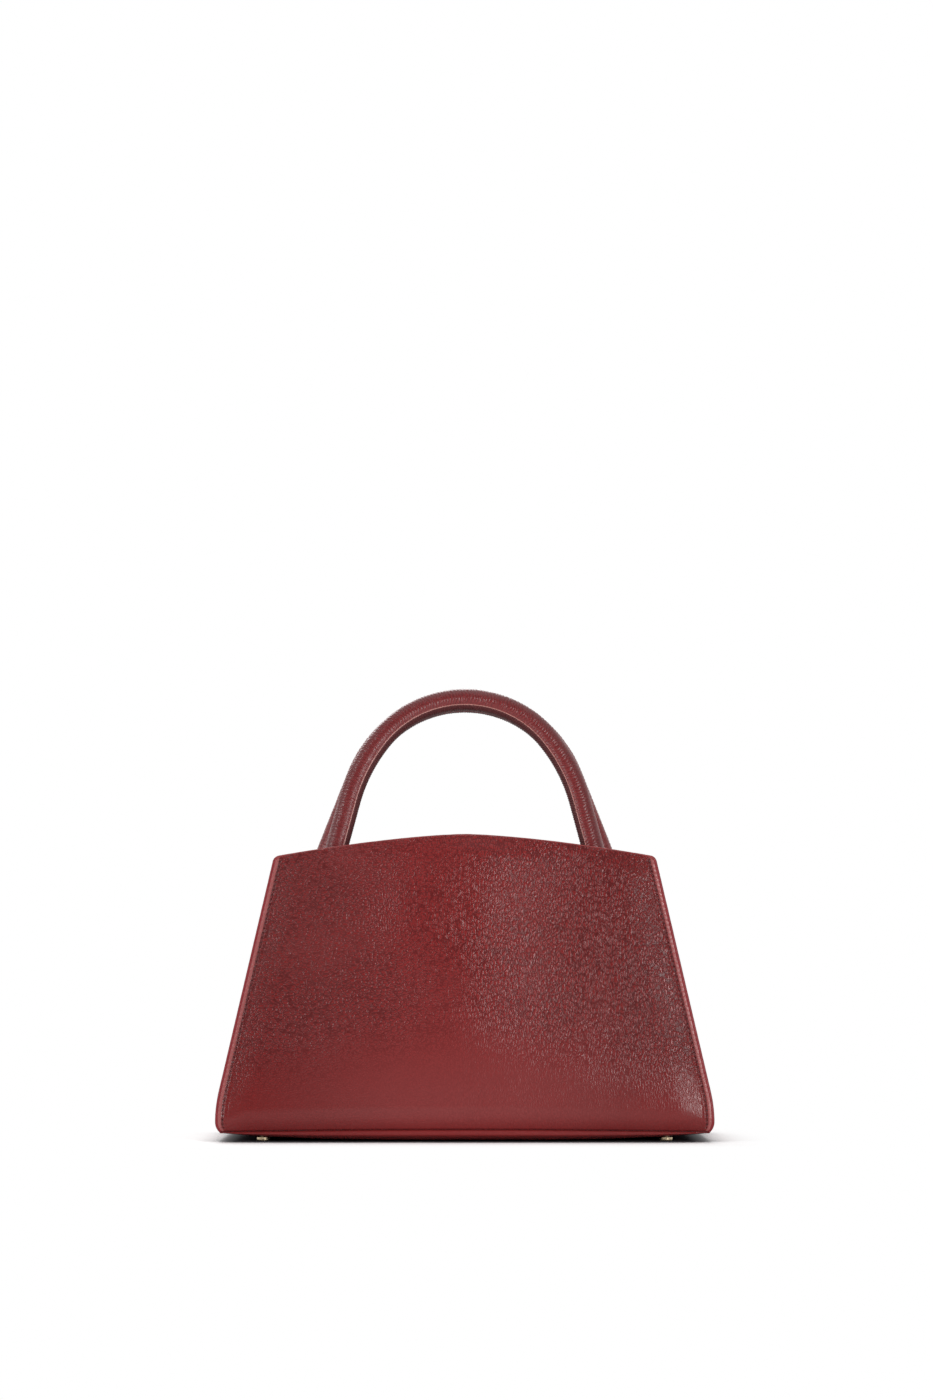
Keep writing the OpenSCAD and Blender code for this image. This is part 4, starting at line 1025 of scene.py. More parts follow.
class BAG_OT_base(Operator):
    """Makes the sagging base with its turned-up rims and its lining"""

    bl_idname = "bag.base"
    bl_label = "Base"

    def execute(self, context):
        # The columns stand closer together near both ends
        share = np.concatenate([
            steps(-1, -0.94, 0.002)[:-1], steps(-0.94, 0.94, 0.011)[:-1], steps(0.94, 1, 0.002),
        ])
        leather_piece("base_leather", self.tray(share, 0.0), self.tray(share, LEATHER_T), "base_panel")
        for side, end in ((-1, "left"), (1, "right")):
            self.end_wall(end, side)
        self.lining()
        return {"FINISHED"}

    def section(self, x, inset):
        """Places (y, z) across the base at x, from the front seam to the back one."""
        rim = seam(x)
        rim_angle = math.asin((rim - TURN_C[1]) / TURN_R)
        # The points stand closer together near the seam
        angles = rim_angle - (rim_angle + math.pi / 2) * np.linspace(0, 1, BASE_TURN_POINTS) ** 1.6
        arc_y = TURN_C[0] + (TURN_R - inset) * np.cos(angles)
        arc_z = TURN_C[1] + (TURN_R - inset) * np.sin(angles)
        low = under(x)
        drop = (arc_z - LOW_Z - inset) / max(rim - LOW_Z, MM)
        arc_z = low + inset + np.clip(drop, 0, None) * (rim - low)
        arc_z[0] = rim
        bottom_y = np.linspace(TURN_C[0], -TURN_C[0], BASE_FLAT_POINTS)[1:-1]
        bottom_z = np.full(len(bottom_y), low + inset)
        y = np.concatenate([-arc_y, -bottom_y, arc_y[::-1]])
        z = np.concatenate([arc_z, bottom_z, arc_z[::-1]])
        return y, z

    def tray(self, share, inset):
        """Points of the base at shares of its length, an inset in from its outer surface."""
        columns = []
        for s in share:
            x0 = s * (HALF_W - 2 * MM)
            y, z = self.section(x0, inset)
            if inset == 0:
                rim = seam(x0)
                from_end = (1 - abs(s)) * HALF_W
                z = z + edge_fall(from_end, 1.6 * MM) * smooth((rim - z) / (1.5 * MM))
                # The turned-up band stands almost upright below the seam before it turns under
                below = (rim - z) / (rim - under(x0))
                upright = smooth(below / 0.1) * (1 - smooth((below - 0.42) / 0.5))
                out = np.abs(y)
                out = out + (wall_y(rim) + 0.3 * MM - out) * upright * smooth(from_end / (9 * MM))
                y = np.sign(y) * (out - edge_fall(rim - z, 0.9 * MM))
            x = s * (side_x(z) - inset)
            columns.append(np.stack([x, y, z], axis=1))
        return np.stack(columns, axis=1)

    def end_wall(self, end, side):
        """The low wall at one end of the base, with its rim turned in."""
        rim = float(seam(HALF_W))
        y, z = self.section(side * (HALF_W - 2 * MM), 0.0)
        z = np.minimum(z + 0.6 * MM, rim)
        rows = []
        for s in steps(0, 1, 0.2):
            height = z + (rim - z) * s
            rows.append(np.stack([side * (side_x(height) - 0.25 * MM), y, height], axis=1))
        for inward, up in END_RIM:
            place = side * (side_x(rim) - inward * MM)
            rows.append(np.stack([place + 0 * y, 0.99 * y, rim + up * MM + 0 * y], axis=1))
        face = np.stack(rows)
        leather_piece(end + "_base_end", face, face - np.array([side * 0.9, 0, 0.3]) * MM)

    def lining(self):
        """The cloth on the base's board."""
        low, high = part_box("base_lining")
        x = steps(low.x, high.x, 3 * MM)
        y = steps(low.y, high.y, 3 * MM)
        across, along = np.meshgrid(x, y)
        height = under(across) + low.z - LOW_Z
        wave = 0.2 * MM * np.abs(ripple(np.stack([across, along, 0 * along], axis=2), 24.0, 5.0))
        top = np.stack([across, along, height + LINING_T + wave], axis=2)
        foot = np.stack([across, along, height], axis=2)
        dress(sheet_piece("base_lining_cloth", top, foot, [lining_cloth()]), "lining", "base_lining")


# Gussets

GUSSET_CORNER = 1.6 * MM


def fold_at(z):
    """How far the gusset's fold has gone in at height z."""
    return FOLD_DEPTH * (z - FOOT_Z) / (GUSSET_TOP_Z - FOOT_Z)


def gusset_reach(z):
    """Half depth of the gusset at height z."""
    return wall_y(z, LEATHER_T) - SEWN_GAP - LEATHER_T


def gusset_x(z, y):
    """Place across of the gusset's outer surface."""
    land = FOLD_LAND_W / 2
    s = (np.abs(y) - land) / (gusset_reach(z) - land)
    return side_x(z) - FLANGE_W - fold_at(z) * (1 - smooth(s))


class BAG_OT_gussets(Operator):
    """Makes the folded gussets with their sewn edges, and their linings"""

    bl_idname = "bag.gussets"
    bl_label = "Gussets"

    def execute(self, context):
        for side, end in ((-1, "left"), (1, "right")):
            self.gusset(end, side, settings()[1])
            self.lining(end, side)
        return {"FINISHED"}

    def gusset(self, end, side, shape):
        """The leather, folded in along its middle, with a row of stitches up each sewn edge."""
        heights = steps(FOOT_Z, GUSSET_TOP_Z, ROW_STEP)
        z = heights[:, None]
        reach = gusset_reach(z)
        corner = GUSSET_CORNER
        # Across: the sewn edge, a small round, then the folded wall, one half mirrored into the other
        flange = steps(0, 1, 0.2)[:-1]
        turn = steps(0, 1, 0.25)[:-1]
        wall = 1 - steps(0, 1, 0.028)
        tip = side_x(z) - 0.4 * MM
        inner = side_x(z) - FLANGE_W
        edge_x = tip + (inner + corner - tip) * flange
        edge_y = reach + 0 * flange
        turn_x = (inner + corner) * (1 - turn) ** 2 + 2 * turn * (1 - turn) * inner + turn**2 * inner
        turn_y = reach * (1 - turn) ** 2 + 2 * turn * (1 - turn) * reach + turn**2 * (reach - corner)
        wall_across = (reach - corner) * wall
        wall_x = gusset_x(z, wall_across)
        half_x = np.concatenate([edge_x, turn_x, wall_x], axis=1)
        half_y = np.concatenate([edge_y, turn_y, wall_across], axis=1)
        x = np.concatenate([half_x, half_x[:, -2::-1]], axis=1)
        y = np.concatenate([-half_y, half_y[:, -2::-1]], axis=1)
        zz = z + 0 * x
        flat = np.stack([side * x, y, zz], axis=2)
        normals = facing_way(grid_normals(flat), (side, 0, 0))
        on_wall = smooth((reach - 2 * MM - np.abs(y)) / (6 * MM))
        above_foot = smooth((zz - FOOT_Z) / (14 * MM))
        slack = ripple(flat, (20.0, 55.0, 13.0), 7.0 + side) + 0.5 * ripple(flat, (40.0, 90.0, 34.0), 2.0)
        lift = shape.gusset_slack * slack * on_wall * above_foot
        # Further up, a ridge runs beside the flat strip and a hollow inside the sewn edge
        strength = smooth((zz - 20 * MM) / (90 * MM))
        ridge = mound(np.abs(y) - FOLD_LAND_W / 2 - 1.5 * MM, 1.6 * MM)
        hollow = mound(np.abs(y) - gusset_reach(zz) + 8 * MM, 2.4 * MM)
        lift = lift + 0.5 * MM * strength * ridge * on_wall - 0.45 * MM * strength * hollow * on_wall
        # The ring's tab lies on the flat strip, so the waves die out there
        lift = lift * (1 - mound(y, 9 * MM) * mound(zz - 150 * MM, 16 * MM))
        # The foot turns out over the rim of the base
        turned = (1 - smooth((zz - FOOT_Z) / (4.5 * MM))) * smooth((reach - np.abs(y)) / (2 * MM))
        flare = np.stack([side * turned * (FLANGE_W - 0.9 * MM), 0 * y, 0 * y], axis=2)
        face = flat + normals * lift[:, :, None] + flare
        back = flat - normals * LEATHER_T + flare
        leather_piece(end + "_gusset_leather", face, back, end + "_gusset")

        runs = []
        marks = heights[6:-3:STITCH_ROWS]
        across = side * (side_x(marks) - shape.stitch_in + 0.8 * MM)
        for sign in (-1, 1):
            holes = np.stack([across, sign * gusset_reach(marks), marks], axis=1)
            runs.append((holes, np.tile([0, -sign, 0], (len(marks), 1))))
        sew(end + "_gusset_stitches", runs, shape.thread_r, 0.26 * MM)

    def lining(self, end, side):
        """The cloth inside the gusset."""
        low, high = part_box(end + "_gusset_lining")
        z = steps(low.z, high.z, 2 * MM)[:, None]
        reach = wall_y(z, STACK_FACING) - 1.5 * MM
        y = steps(-1, 1, 0.04) * reach
        flat = np.stack([side * gusset_x(z, y), y, z + 0 * y], axis=2)
        inward = -facing_way(grid_normals(flat), (side, 0, 0))
        depth = LEATHER_T + 0.8 * MM
        face, back = flat + inward * (depth + LINING_T), flat + inward * depth
        piece = sheet_piece(end + "_gusset_lining_cloth", face, back, [lining_cloth()])
        dress(piece, "lining", end + "_gusset_lining")


# Handles

PIVOT_DEPTH = STACK_FACING + HANDLE_R + PIVOT_EASE
PIVOT_UP = (PIVOT_Z - CROWN_Z + PIVOT_DEPTH * math.sin(WALL_LEAN)) / math.cos(WALL_LEAN)
PIVOT_Y = wall_place(PIVOT_DEPTH, PIVOT_UP)[0]
HANDLE_TILT = math.atan2(PIVOT_Y - HANDLE_R - HANDLE_GAP / 2, HANDLE_TOP_Z - PIVOT_Z)
HANDLE_RISE = (HANDLE_TOP_Z - PIVOT_Z) / math.cos(HANDLE_TILT)
TAB_FLAT_DEPTH = STACK_FACING + SEWN_GAP + TAB_T / 2
TAB_RIVET_Z = float(crown(min(h["spread"] for h in HANDLES.values()))) - FACING_H + TAB_RIVET_EDGE_IN
TAB_RIVET_UP = (TAB_RIVET_Z - CROWN_Z + STACK_FACING * math.sin(WALL_LEAN)) / math.cos(WALL_LEAN)
TAB_END_UP = TAB_RIVET_UP - TAB_TAIL
RING_STEP = 0.36 * MM
SOFTENING_ROUNDS = 40
# The handle flattens from a little above the pivot, over a length, and its tab ends in a round tongue
FLAT_START = 4 * MM
FLAT_LENGTH = 14 * MM
TONGUE_LENGTH = 7 * MM
# Turns round the tube: none is the arch's outer curve, a quarter is the side to the outside of the bag
SEAM_TURN = math.radians(132)
ARROW_TURN = math.radians(96)
SHADE_BAND_TURN = math.radians(52)
HANDLE_SIDES = 64
CREASE_PITCH = 1.9 * MM
PLEAT_PITCH = 1.55 * MM
CORD_TWIST = 42 * MM
STRAND_SIDES = 10


def leg_route(spread, lean, shoulder_r):
    """Points (x, up) and outward angles down one leg, from the crown to its foot, in the handle's plane."""
    across = spread - shoulder_r * (math.cos(lean) - math.cos(CROWN_TURN))
    rise = HANDLE_RISE - shoulder_r * (math.sin(CROWN_TURN) - math.sin(lean))
    share = math.cos(CROWN_TURN) * math.cos(lean) - math.sin(lean) * (1 - math.sin(CROWN_TURN))
    crown_r = (across * math.cos(lean) - rise * math.sin(lean)) / share
    crown_c = np.array([0, HANDLE_RISE - crown_r])
    turn = np.array([math.cos(CROWN_TURN), math.sin(CROWN_TURN)])
    shoulder_c = crown_c + (crown_r - shoulder_r) * turn
    a = np.linspace(math.pi / 2, CROWN_TURN, round(crown_r * (math.pi / 2 - CROWN_TURN) / RING_STEP))
    b = np.linspace(CROWN_TURN, lean, round(shoulder_r * (CROWN_TURN - lean) / RING_STEP))[1:]
    crown_points = crown_c + crown_r * np.stack([np.cos(a), np.sin(a)], axis=1)
    shoulder_points = shoulder_c + shoulder_r * np.stack([np.cos(b), np.sin(b)], axis=1)
    last = shoulder_points[-1]
    length = last[1] / math.cos(lean)
    d = steps(0, length, RING_STEP)[1:]
    leg = last + d[:, None] * np.array([math.sin(lean), -math.cos(lean)])
    points = np.concatenate([crown_points, shoulder_points, leg])
    angles = np.concatenate([a, b, np.full(len(d), lean)])
    return points, angles


def handle_frame(spread, lean, shoulder_r, side):
    """Centre line of a handle from one tab's end to the other's, with the two directions across it.

    Returns points, outward directions in the handle's plane, directions to the outside of the bag,
    how far each ring has turned from a round tube into a flat tab, and how wide the tab's tongue is."""
    points, angles = leg_route(spread, lean, shoulder_r)
    cos, sin = math.cos(HANDLE_TILT), math.sin(HANDLE_TILT)
    x, up = points[:, 0], points[:, 1]
    centre = np.stack([x, side * (PIVOT_Y - up * sin), PIVOT_Z + up * cos], axis=1)
    outward = np.stack([np.cos(angles), -side * np.sin(angles) * sin, np.sin(angles) * cos], axis=1)
    aside = np.tile([0, side * cos, sin], (len(x), 1))

    down = steps(0, PIVOT_UP - TAB_END_UP, RING_STEP)[1:]
    s = down / TAB_BEND
    depth = TAB_FLAT_DEPTH + (PIVOT_DEPTH - TAB_FLAT_DEPTH) * (1 - smooth(s))
    y, z = wall_place(depth, PIVOT_UP - down)
    slide = math.tan(lean) * 6 * MM * (1 - np.exp(-down / (6 * MM)))
    tab = np.stack([spread + slide * (1 - smooth(s)), side * y, z], axis=1)
    flat_out = np.tile([1.0, 0, 0], (len(down), 1))
    flat_aside = np.tile([0, side * math.cos(WALL_LEAN), math.sin(WALL_LEAN)], (len(down), 1))

    flat = smooth((PIVOT_Z + FLAT_START - centre[:, 2]) / FLAT_LENGTH)
    flat = np.concatenate([flat, np.maximum(smooth((down + FLAT_START) / FLAT_LENGTH), flat[-1])])
    from_end = np.clip((down[-1] - down) / TONGUE_LENGTH, 0, 1)
    tongue = np.concatenate([np.ones(len(x)), np.sqrt(np.clip(1 - (1 - from_end) ** 2, 0.02, 1))])
    centre = np.concatenate([centre, tab])
    outward = np.concatenate([outward, flat_out])
    aside = np.concatenate([aside, flat_aside])
    # Directions turn gently where the leg becomes the tab
    for _ in range(SOFTENING_ROUNDS):
        for way in (outward, aside):
            way[1:-1] = (way[:-2] + way[1:-1] * 2 + way[2:]) / 4

    def both(one, mirror=1):
        """The leg's values, with the other leg's before them."""
        return np.concatenate([one[:0:-1] * np.array(mirror), one])

    ways = [both(way, (-1, 1, 1)) for way in (centre, unit(outward), unit(aside))]
    return *ways, both(flat), both(tongue)


class BAG_OT_handles(Operator):
    """Makes the rolled handles, which flatten into the tabs inside the mouth, and their cords"""

    bl_idname = "bag.handles"
    bl_label = "Handles"

    def execute(self, context):
        for end, form in HANDLES.items():
            parts = handle_frame(**form)
            self.cover(end, form["side"], *parts)
            self.core(end, *parts[:3])
        return {"FINISHED"}

    def cover(self, end, side, centre, outward, aside, flat, tongue):
        """The leather, from one tab's end over the handle to the other's."""
        look, shape, _ = settings()
        # Sides of the section, closer together round the seam
        a = np.linspace(0, 2 * math.pi, HANDLE_SIDES, endpoint=False)
        extra = SEAM_TURN + np.radians(np.array([-9, -6.5, -4.5, -3, -1.5, 0, 1.5, 3, 4.5, 6.5, 9]))
        a = np.unique(np.round(np.concatenate([a[np.abs(a - SEAM_TURN) > math.radians(10)], extra]), 6))
        # The round section turns into the flat one of the tab, with its corners more and more square
        wide = HANDLE_R + (TAB_W / 2 - HANDLE_R) * flat
        thick = HANDLE_R + (TAB_T / 2 - HANDLE_R) * flat
        power = 2 / (2 + 4 * flat)
        cos, sin = np.cos(a)[None], np.sin(a)[None]
        n_part = (wide * tongue)[:, None] * np.sign(cos) * np.abs(cos) ** power[:, None]
        b_part = thick[:, None] * np.sign(sin) * np.abs(sin) ** power[:, None]
        length = lengths_along(centre)
        length = length - length[-1] / 2
        s = length[:, None] + 0 * a[None]
        turn = a[None] + 0 * s
        away = np.degrees(turn - SEAM_TURN)
        round_part = (1 - flat)[:, None]
        # At the seam, the upper layer's painted edge stands over the strip beyond it
        ridge = mound(away, 2.6)
        step = smooth((away + 2) / 5) * smooth((22 - away) / 14)
        lift = round_part * (0.5 * MM * ridge - 0.3 * MM * step)
        v = turn * HANDLE_R
        # Creases cross the tube and meet in shallow arrows along its front
        arrow = np.abs(turn - ARROW_TURN) * HANDLE_R
        wander = ripple(np.stack([s / (4 * MM), v / (3.4 * MM), 0 * s], axis=2), 1.0, 3.0 + side)
        fold = ripple(np.stack([s / (1.5 * MM), v / (2.6 * MM), 0 * s], axis=2), 1.0, 8.0)
        broad = ripple(np.stack([s / (8 * MM), v / (4 * MM), 0 * s], axis=2), 1.0, 11.0)
        phase = 2 * math.pi * (s + 0.3 * arrow) / CREASE_PITCH + 4 * wander + 1.6 * fold
        creases = (2 * (0.5 + 0.5 * np.cos(phase)) ** 0.8 - 1) * np.clip(0.8 + 0.7 * broad, 0.3, 1)
        creases = creases + 0.25 * fold
        pleats = np.sin(2 * math.pi * (s + 0.3 * v) / PLEAT_PITCH + 1.3 * fold)
        strip = smooth((away - 3) / 4) * smooth((80 - away) / 20)
        quiet = 1 - mound(away, 5)
        lift = lift + shape.crease_depth * (creases + 0.5 * broad) * quiet * (1 - strip)
        lift = lift + (0.2 * pleats + 0.45) * MM * strip * (0.3 + 0.7 * round_part)
        radial = n_part[:, :, None] * outward[:, None] + b_part[:, :, None] * aside[:, None]
        size = np.linalg.norm(radial, axis=2, keepdims=True)
        rings = centre[:, None] + radial * (1 + lift[:, :, None] / np.maximum(size, MM))
        values = {
            "along": np.stack([s, v, 0 * s], axis=2), "underside": strip * (0.35 + 0.65 * round_part),
            "ridge": mound(away, 2.2) * round_part, "crease": creases * (1 - strip),
            # shoulder carries the band of painted shade
            "shoulder": mound(np.degrees(turn - SHADE_BAND_TURN), 34) * round_part,
        }
        skin = material("creased_leather", creased_leather, look)
        piece = tube_piece(end + "_handle_leather", rings, skin, values)
        side * PIVOT_Y
        side * PIVOT_Y
        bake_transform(piece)
        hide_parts(end + "_handle_cover", end + "_handle_tabs")

    def core(self, end, centre, outward, aside):
        """Three strands twisted into a cord."""
        inside = centre[:, 2] > PIVOT_Z + FLAT_START
        centre, outward, aside = (way[inside][::5] for way in (centre, outward, aside))
        length = lengths_along(centre)
        strand_r = CORE_R / (1 + 2 / math.sqrt(3))
        ring = round_section(outward, aside, STRAND_SIDES) * strand_r
        points, faces = [], []
        for k in range(3):
            twist = 2 * math.pi * (length / CORD_TWIST + k / 3)
            out = outward * np.cos(twist)[:, None] + aside * np.sin(twist)[:, None]
            middle = centre + out * (CORE_R - strand_r)
            faces += tube_faces(len(centre), STRAND_SIDES, k * len(centre) * STRAND_SIDES)
            points.append((middle[:, None] + ring).reshape(-1, 3))
        yarn = [material("cotton_cord", cotton)]
        piece = mesh_piece(end + "_handle_cord", np.concatenate(points), faces, yarn)
        dress(piece, "cord", end + "_handle_core", body=end + "_handle")


# Strap rings

RING_WIRE_R = 1.5 * MM
TURN_GAP = 0.06 * MM
RING_TAB_T = 1.5 * MM
RING_TAB_UP = 17 * MM
RING_BAR_OUT = RING_WIRE_R + TURN_GAP + RING_TAB_T + SEWN_GAP
RING_TAB_W = 11.8 * MM
RING_BAR_Z = 146 * MM
RING_TAB_MEET = 5.6 * MM


class BAG_OT_ring_tabs(Operator):
    """Makes the leather loops that hold the strap rings"""

    bl_idname = "bag.ring_tabs"
    bl_label = "Ring tabs"

    def execute(self, context):
        fall_in = float(gusset_x(SIDE_LINE_Z, 0) - gusset_x(GUSSET_TOP_Z, 0))
        lean = math.atan2(fall_in, GUSSET_TOP_Z - SIDE_LINE_Z)
        out = np.array([math.cos(lean), 0, math.sin(lean)])
        up = np.array([-math.sin(lean), 0, math.cos(lean)])
        base = np.array([float(gusset_x(RING_BAR_Z, 0)), 0, RING_BAR_Z])
        middle_r = RING_WIRE_R + TURN_GAP + RING_TAB_T / 2
        inner = SEWN_GAP + RING_TAB_T / 2
        outer = SEWN_GAP + 1.5 * RING_TAB_T
        turn = np.radians(np.linspace(180, 400, 40))
        # Down the inner layer, round the ring's bar, in to the outer layer, and up along it
        path = [(inner, u) for u in steps(RING_TAB_UP, 0.4 * MM, -0.8 * MM)]
        path += [(RING_BAR_OUT + middle_r * math.cos(a), middle_r * math.sin(a)) for a in turn]
        end = path[-1]
        for s in steps(0, 1, 0.1)[1:]:
            w = float(smooth(s))
            path.append((end[0] + (outer - end[0]) * w, end[1] + (RING_TAB_MEET - end[1]) * s))
        path += [(outer, u) for u in steps(RING_TAB_MEET, RING_TAB_UP - 0.3 * MM, 0.8 * MM)[1:]]
        path = np.array(path)
        ahead = unit(np.gradient(path, axis=0))
        normal = np.stack([ahead[:, 1], -ahead[:, 0]], axis=1)
        across = steps(-RING_TAB_W / 2, RING_TAB_W / 2, 0.5 * MM)
        thick = RING_TAB_T / 2 - edge_fall(RING_TAB_W / 2 - np.abs(across), 0.5 * MM) * 0.7
        for end, mirror in (("left", np.array([-1, 1, 1])), ("right", np.array([1, 1, 1]))):
            faces = []
            for sign in (1, -1):
                flat = path[:, None] + sign * normal[:, None] * thick[None, :, None]
                p = base + flat[:, :, :1] * out + flat[:, :, 1:] * up
                faces.append((p + across[None, :, None] * np.array([0, 1, 0])) * mirror)
            leather_piece(end + "_ring_tab_leather", *faces, end + "_ring_tab")
            self.sewing(end + "_ring_tab_stitches", mirror, base, out, up)
        return {"FINISHED"}

    def sewing(self, name, mirror, base, out, up):
        """Two runs of stitches down the tab."""
        heights = steps(6.4 * MM, RING_TAB_UP - 1.4 * MM, 2.6 * MM)
        middle = base + out * (SEWN_GAP + 2 * RING_TAB_T) + up * heights[:, None]
        runs = []
        for sign in (-1, 1):
            holes = middle + np.array([0, sign * (RING_TAB_W / 2 - 1.5 * MM), 0])
            runs.append((holes * mirror, np.tile(out * mirror, (len(heights), 1))))
        sew(name, runs, settings()[1].thread_r * 0.9, 0.24 * MM)


# Pockets and zip

POCKET_DEPTH = STACK_IN + LINING_T + SEWN_GAP
PATCH_ROOM = 2.6 * MM
PATCH_T = 0.8 * MM
PATCH_R = 10 * MM
ZIP_DROP = 14 * MM
ZIP_LEN = 126 * MM
ZIP_SLOT_H = 9.4 * MM
ZIP_POCKET_DOWN = 8 * MM
SLIP_POCKET_DOWN = 12 * MM
TAPE_T = 0.6 * MM
TAPE_INNER = 3.3 * MM
TAPE_OUTER = 11 * MM
# Section of the slip pocket's binding: depth and place up from the pocket's edge, in millimetres
BINDING = ((-0.55, -5), (-0.62, -2.5), (-0.5, 0), (0, 0.5), (0.5, 0), (0.62, -2.5), (0.55, -5))


def patch_grid(width, height, xs, ups):
    """Places (x, up) of a patch with rounded lower corners, and their distance from its sewn border."""
    x, up = np.meshgrid(xs, ups)
    low = np.clip(-height + PATCH_R - up, 0, PATCH_R)
    half = width / 2 - PATCH_R + np.sqrt(PATCH_R**2 - low**2)
    x = x / (width / 2) * half
    sides = half - np.abs(x)
    return x, up, np.minimum(sides, up + height)


def on_wall(x, up, depth, start_up, side):
    """Points at a depth inside a wall, at a height along it from a start."""
    y, z = wall_place(depth, up + start_up)
    return np.stack([x, side * y, z], axis=2)


class BAG_OT_pockets(Operator):
    """Makes the zip pocket, the slip pocket and the zip's tape"""

    bl_idname = "bag.pockets"
    bl_label = "Pockets"

    def execute(self, context):
        self.zip_pocket(-FACING_H - ZIP_POCKET_DOWN)
        self.slip_pocket(-FACING_H - SLIP_POCKET_DOWN)
        return {"FINISHED"}

    def patch_size(self, name):
        """Width of a patch, and its height along the wall."""
        low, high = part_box(name)
        return high.x - low.x, (high.z - low.z) / math.cos(WALL_LEAN)

    def zip_pocket(self, start):
        """The pocket on the back wall, with a slot for the zip."""
        width, height = self.patch_size("zip_pocket")
        slot_low, slot_high = -ZIP_DROP - ZIP_SLOT_H / 2, -ZIP_DROP + ZIP_SLOT_H / 2
        xs = np.concatenate([
            steps(-width / 2, -ZIP_LEN / 2, MM), steps(-ZIP_LEN / 2, ZIP_LEN / 2, 2.4 * MM)[1:-1],
            steps(ZIP_LEN / 2, width / 2, MM),
        ])
        ups = np.concatenate([
            steps(-height, slot_low, 1.2 * MM), steps(slot_low, slot_high, 2.4 * MM)[1:-1],
            steps(slot_high, 0, MM),
        ])
        x, up, from_border = patch_grid(width, height, xs, ups)
        middle_x, middle_up = ((g[:-1, :-1] + g[1:, 1:]) / 2 for g in (x, up))
        keep = ~((np.abs(middle_x) < ZIP_LEN / 2) & (middle_up > slot_low) & (middle_up < slot_high))
        self.patch("zip_pocket", x, up, np.minimum(from_border, -up), start, 1, keep)
        self.tape(start)

    def slip_pocket(self, start):
        """The open pocket on the front wall."""
        width, height = self.patch_size("slip_pocket")
        xs, ups = steps(-width / 2, width / 2, 1.5 * MM), steps(-height, 0, 1.2 * MM)
        self.patch("slip_pocket", *patch_grid(width, height, xs, ups), start, -1)
        self.binding(width, start)

    def rise(self, from_border):
        """How far a patch stands off its wall, from 0 at its border to 1."""
        return smooth(from_border / (3.2 * MM))

    def patch(self, name, x, up, from_border, start, side, keep=None):
        """A patch of cloth on a wall, full in the middle."""
        rise = self.rise(from_border)
        lines = mound(from_border - 1.6 * MM, 0.4 * MM)
        top = POCKET_DEPTH + PATCH_T * 0.6 + (PATCH_ROOM + PATCH_T * 0.4) * rise - 0.1 * MM * lines
        flat = np.stack([x, 0 * x, up], axis=2)
        top = top - 0.25 * MM * np.abs(ripple(flat, (24.0, 1.0, 30.0), 4.0)) * rise
        face = on_wall(x, up, top, start, side)
        back = on_wall(x, up, top - PATCH_T * 0.55, start, side)
        piece = sheet_piece(name + "_cloth", face, back, [lining_cloth()], keep)
        dress(piece, "lining", name)

    def binding(self, width, start):
        """Leather over the slip pocket's open edge."""
        xs = steps(-width / 2 + 1.5 * MM, width / 2 - 1.5 * MM, 1.5 * MM)
        rise = self.rise(width / 2 - np.abs(xs))
        middle = POCKET_DEPTH + PATCH_T * 0.32 + (PATCH_ROOM + PATCH_T * 0.4) * rise

        def line(depth, up):
            """A line along the front wall."""
            y, z = wall_place(middle + depth * MM, up * MM + start)
            return np.stack([xs, -y, z + 0 * xs], axis=1)

        rings = np.stack([line(depth, up) for depth, up in BINDING], axis=1)
        dress(tube_piece("slip_pocket_binding", rings, plain_leather()), "leather")
        sew_inside("slip_pocket_stitches", line(0.6, -3.6), -1, 0.2 * MM)

    def tape(self, start):
        """The two halves of the zip's tape, each with a bead along its inner edge."""
        low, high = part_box("zip_tape")
        x, up = np.meshgrid(steps(low.x, high.x, 2 * MM), steps(TAPE_INNER, TAPE_OUTER, 0.7 * MM))
        depth = POCKET_DEPTH + PATCH_ROOM - LAY_GAP
        bead = 0.25 * MM * mound(up - TAPE_INNER - 0.4 * MM, 0.5 * MM)
        for half, sign, nodes in (("lower", -1, ["zip_tape"]), ("upper", 1, [])):
            face = on_wall(x, sign * up - ZIP_DROP, depth + bead, start, 1)
            back = on_wall(x, sign * up - ZIP_DROP, depth - TAPE_T + 0 * x, start, 1)
            piece = sheet_piece(half + "_zip_tape_cloth", face, back, [tape_cloth()])
            dress(piece, "lining", *nodes)


# Metal and boards


class BAG_OT_fittings(Operator):
    """Gives the frame's metal and its boards their finish"""

    bl_idname = "bag.fittings"
    bl_label = "Metal and boards"

    METAL = (
        "front_handle_rivets", "rear_handle_rivets", "left_ring", "right_ring", "left_ring_rivet",
        "right_ring_rivet", "foot_front_left", "foot_front_right", "foot_back_left", "foot_back_right",
        "foot_washers", "snap_stud", "snap_socket", "snap_washers", "zip_teeth", "zip_slider", "zip_puller",
    )
    BOARDS = ("front_board", "back_board", "base_board")

    def execute(self, context):
        gold = material("pale_gold", plated, paint(248, 226, 188), 0.16)
        board = material("pressed_board", pressed_board)
        for names, finish in ((self.METAL, gold), (self.BOARDS, board)):
            for name in names:
                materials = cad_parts[name].data.materials
                materials.clear()
                materials.append(finish)
        return {"FINISHED"}


# Stage

# The picture, and where the bag's middle line and the horizon stand in it, in pixels
IMAGE_W, IMAGE_H = 933, 1400
AXIS_PX = 464.75
HORIZON_PX = 960
LENS = 85
SENSOR = 36

# What the lamps shine at, and their places with their width and height, in metres
LAMPS_AIM = (0, 0, 0.12)
LAMPS = {
    "top_lamp": ((0.0, -0.35, 1.5), 1.6, 1.2),
    "main_lamp": ((1.08, -1.66, 0.5), 0.5, 0.6),
    "fill_lamp": ((-1.5, -1.0, 0.62), 0.45, 0.8),
    "back_lamp": ((-0.3, 1.2, 1.1), 1.2, 0.8),
}
FLOOR_REACH = 4.0


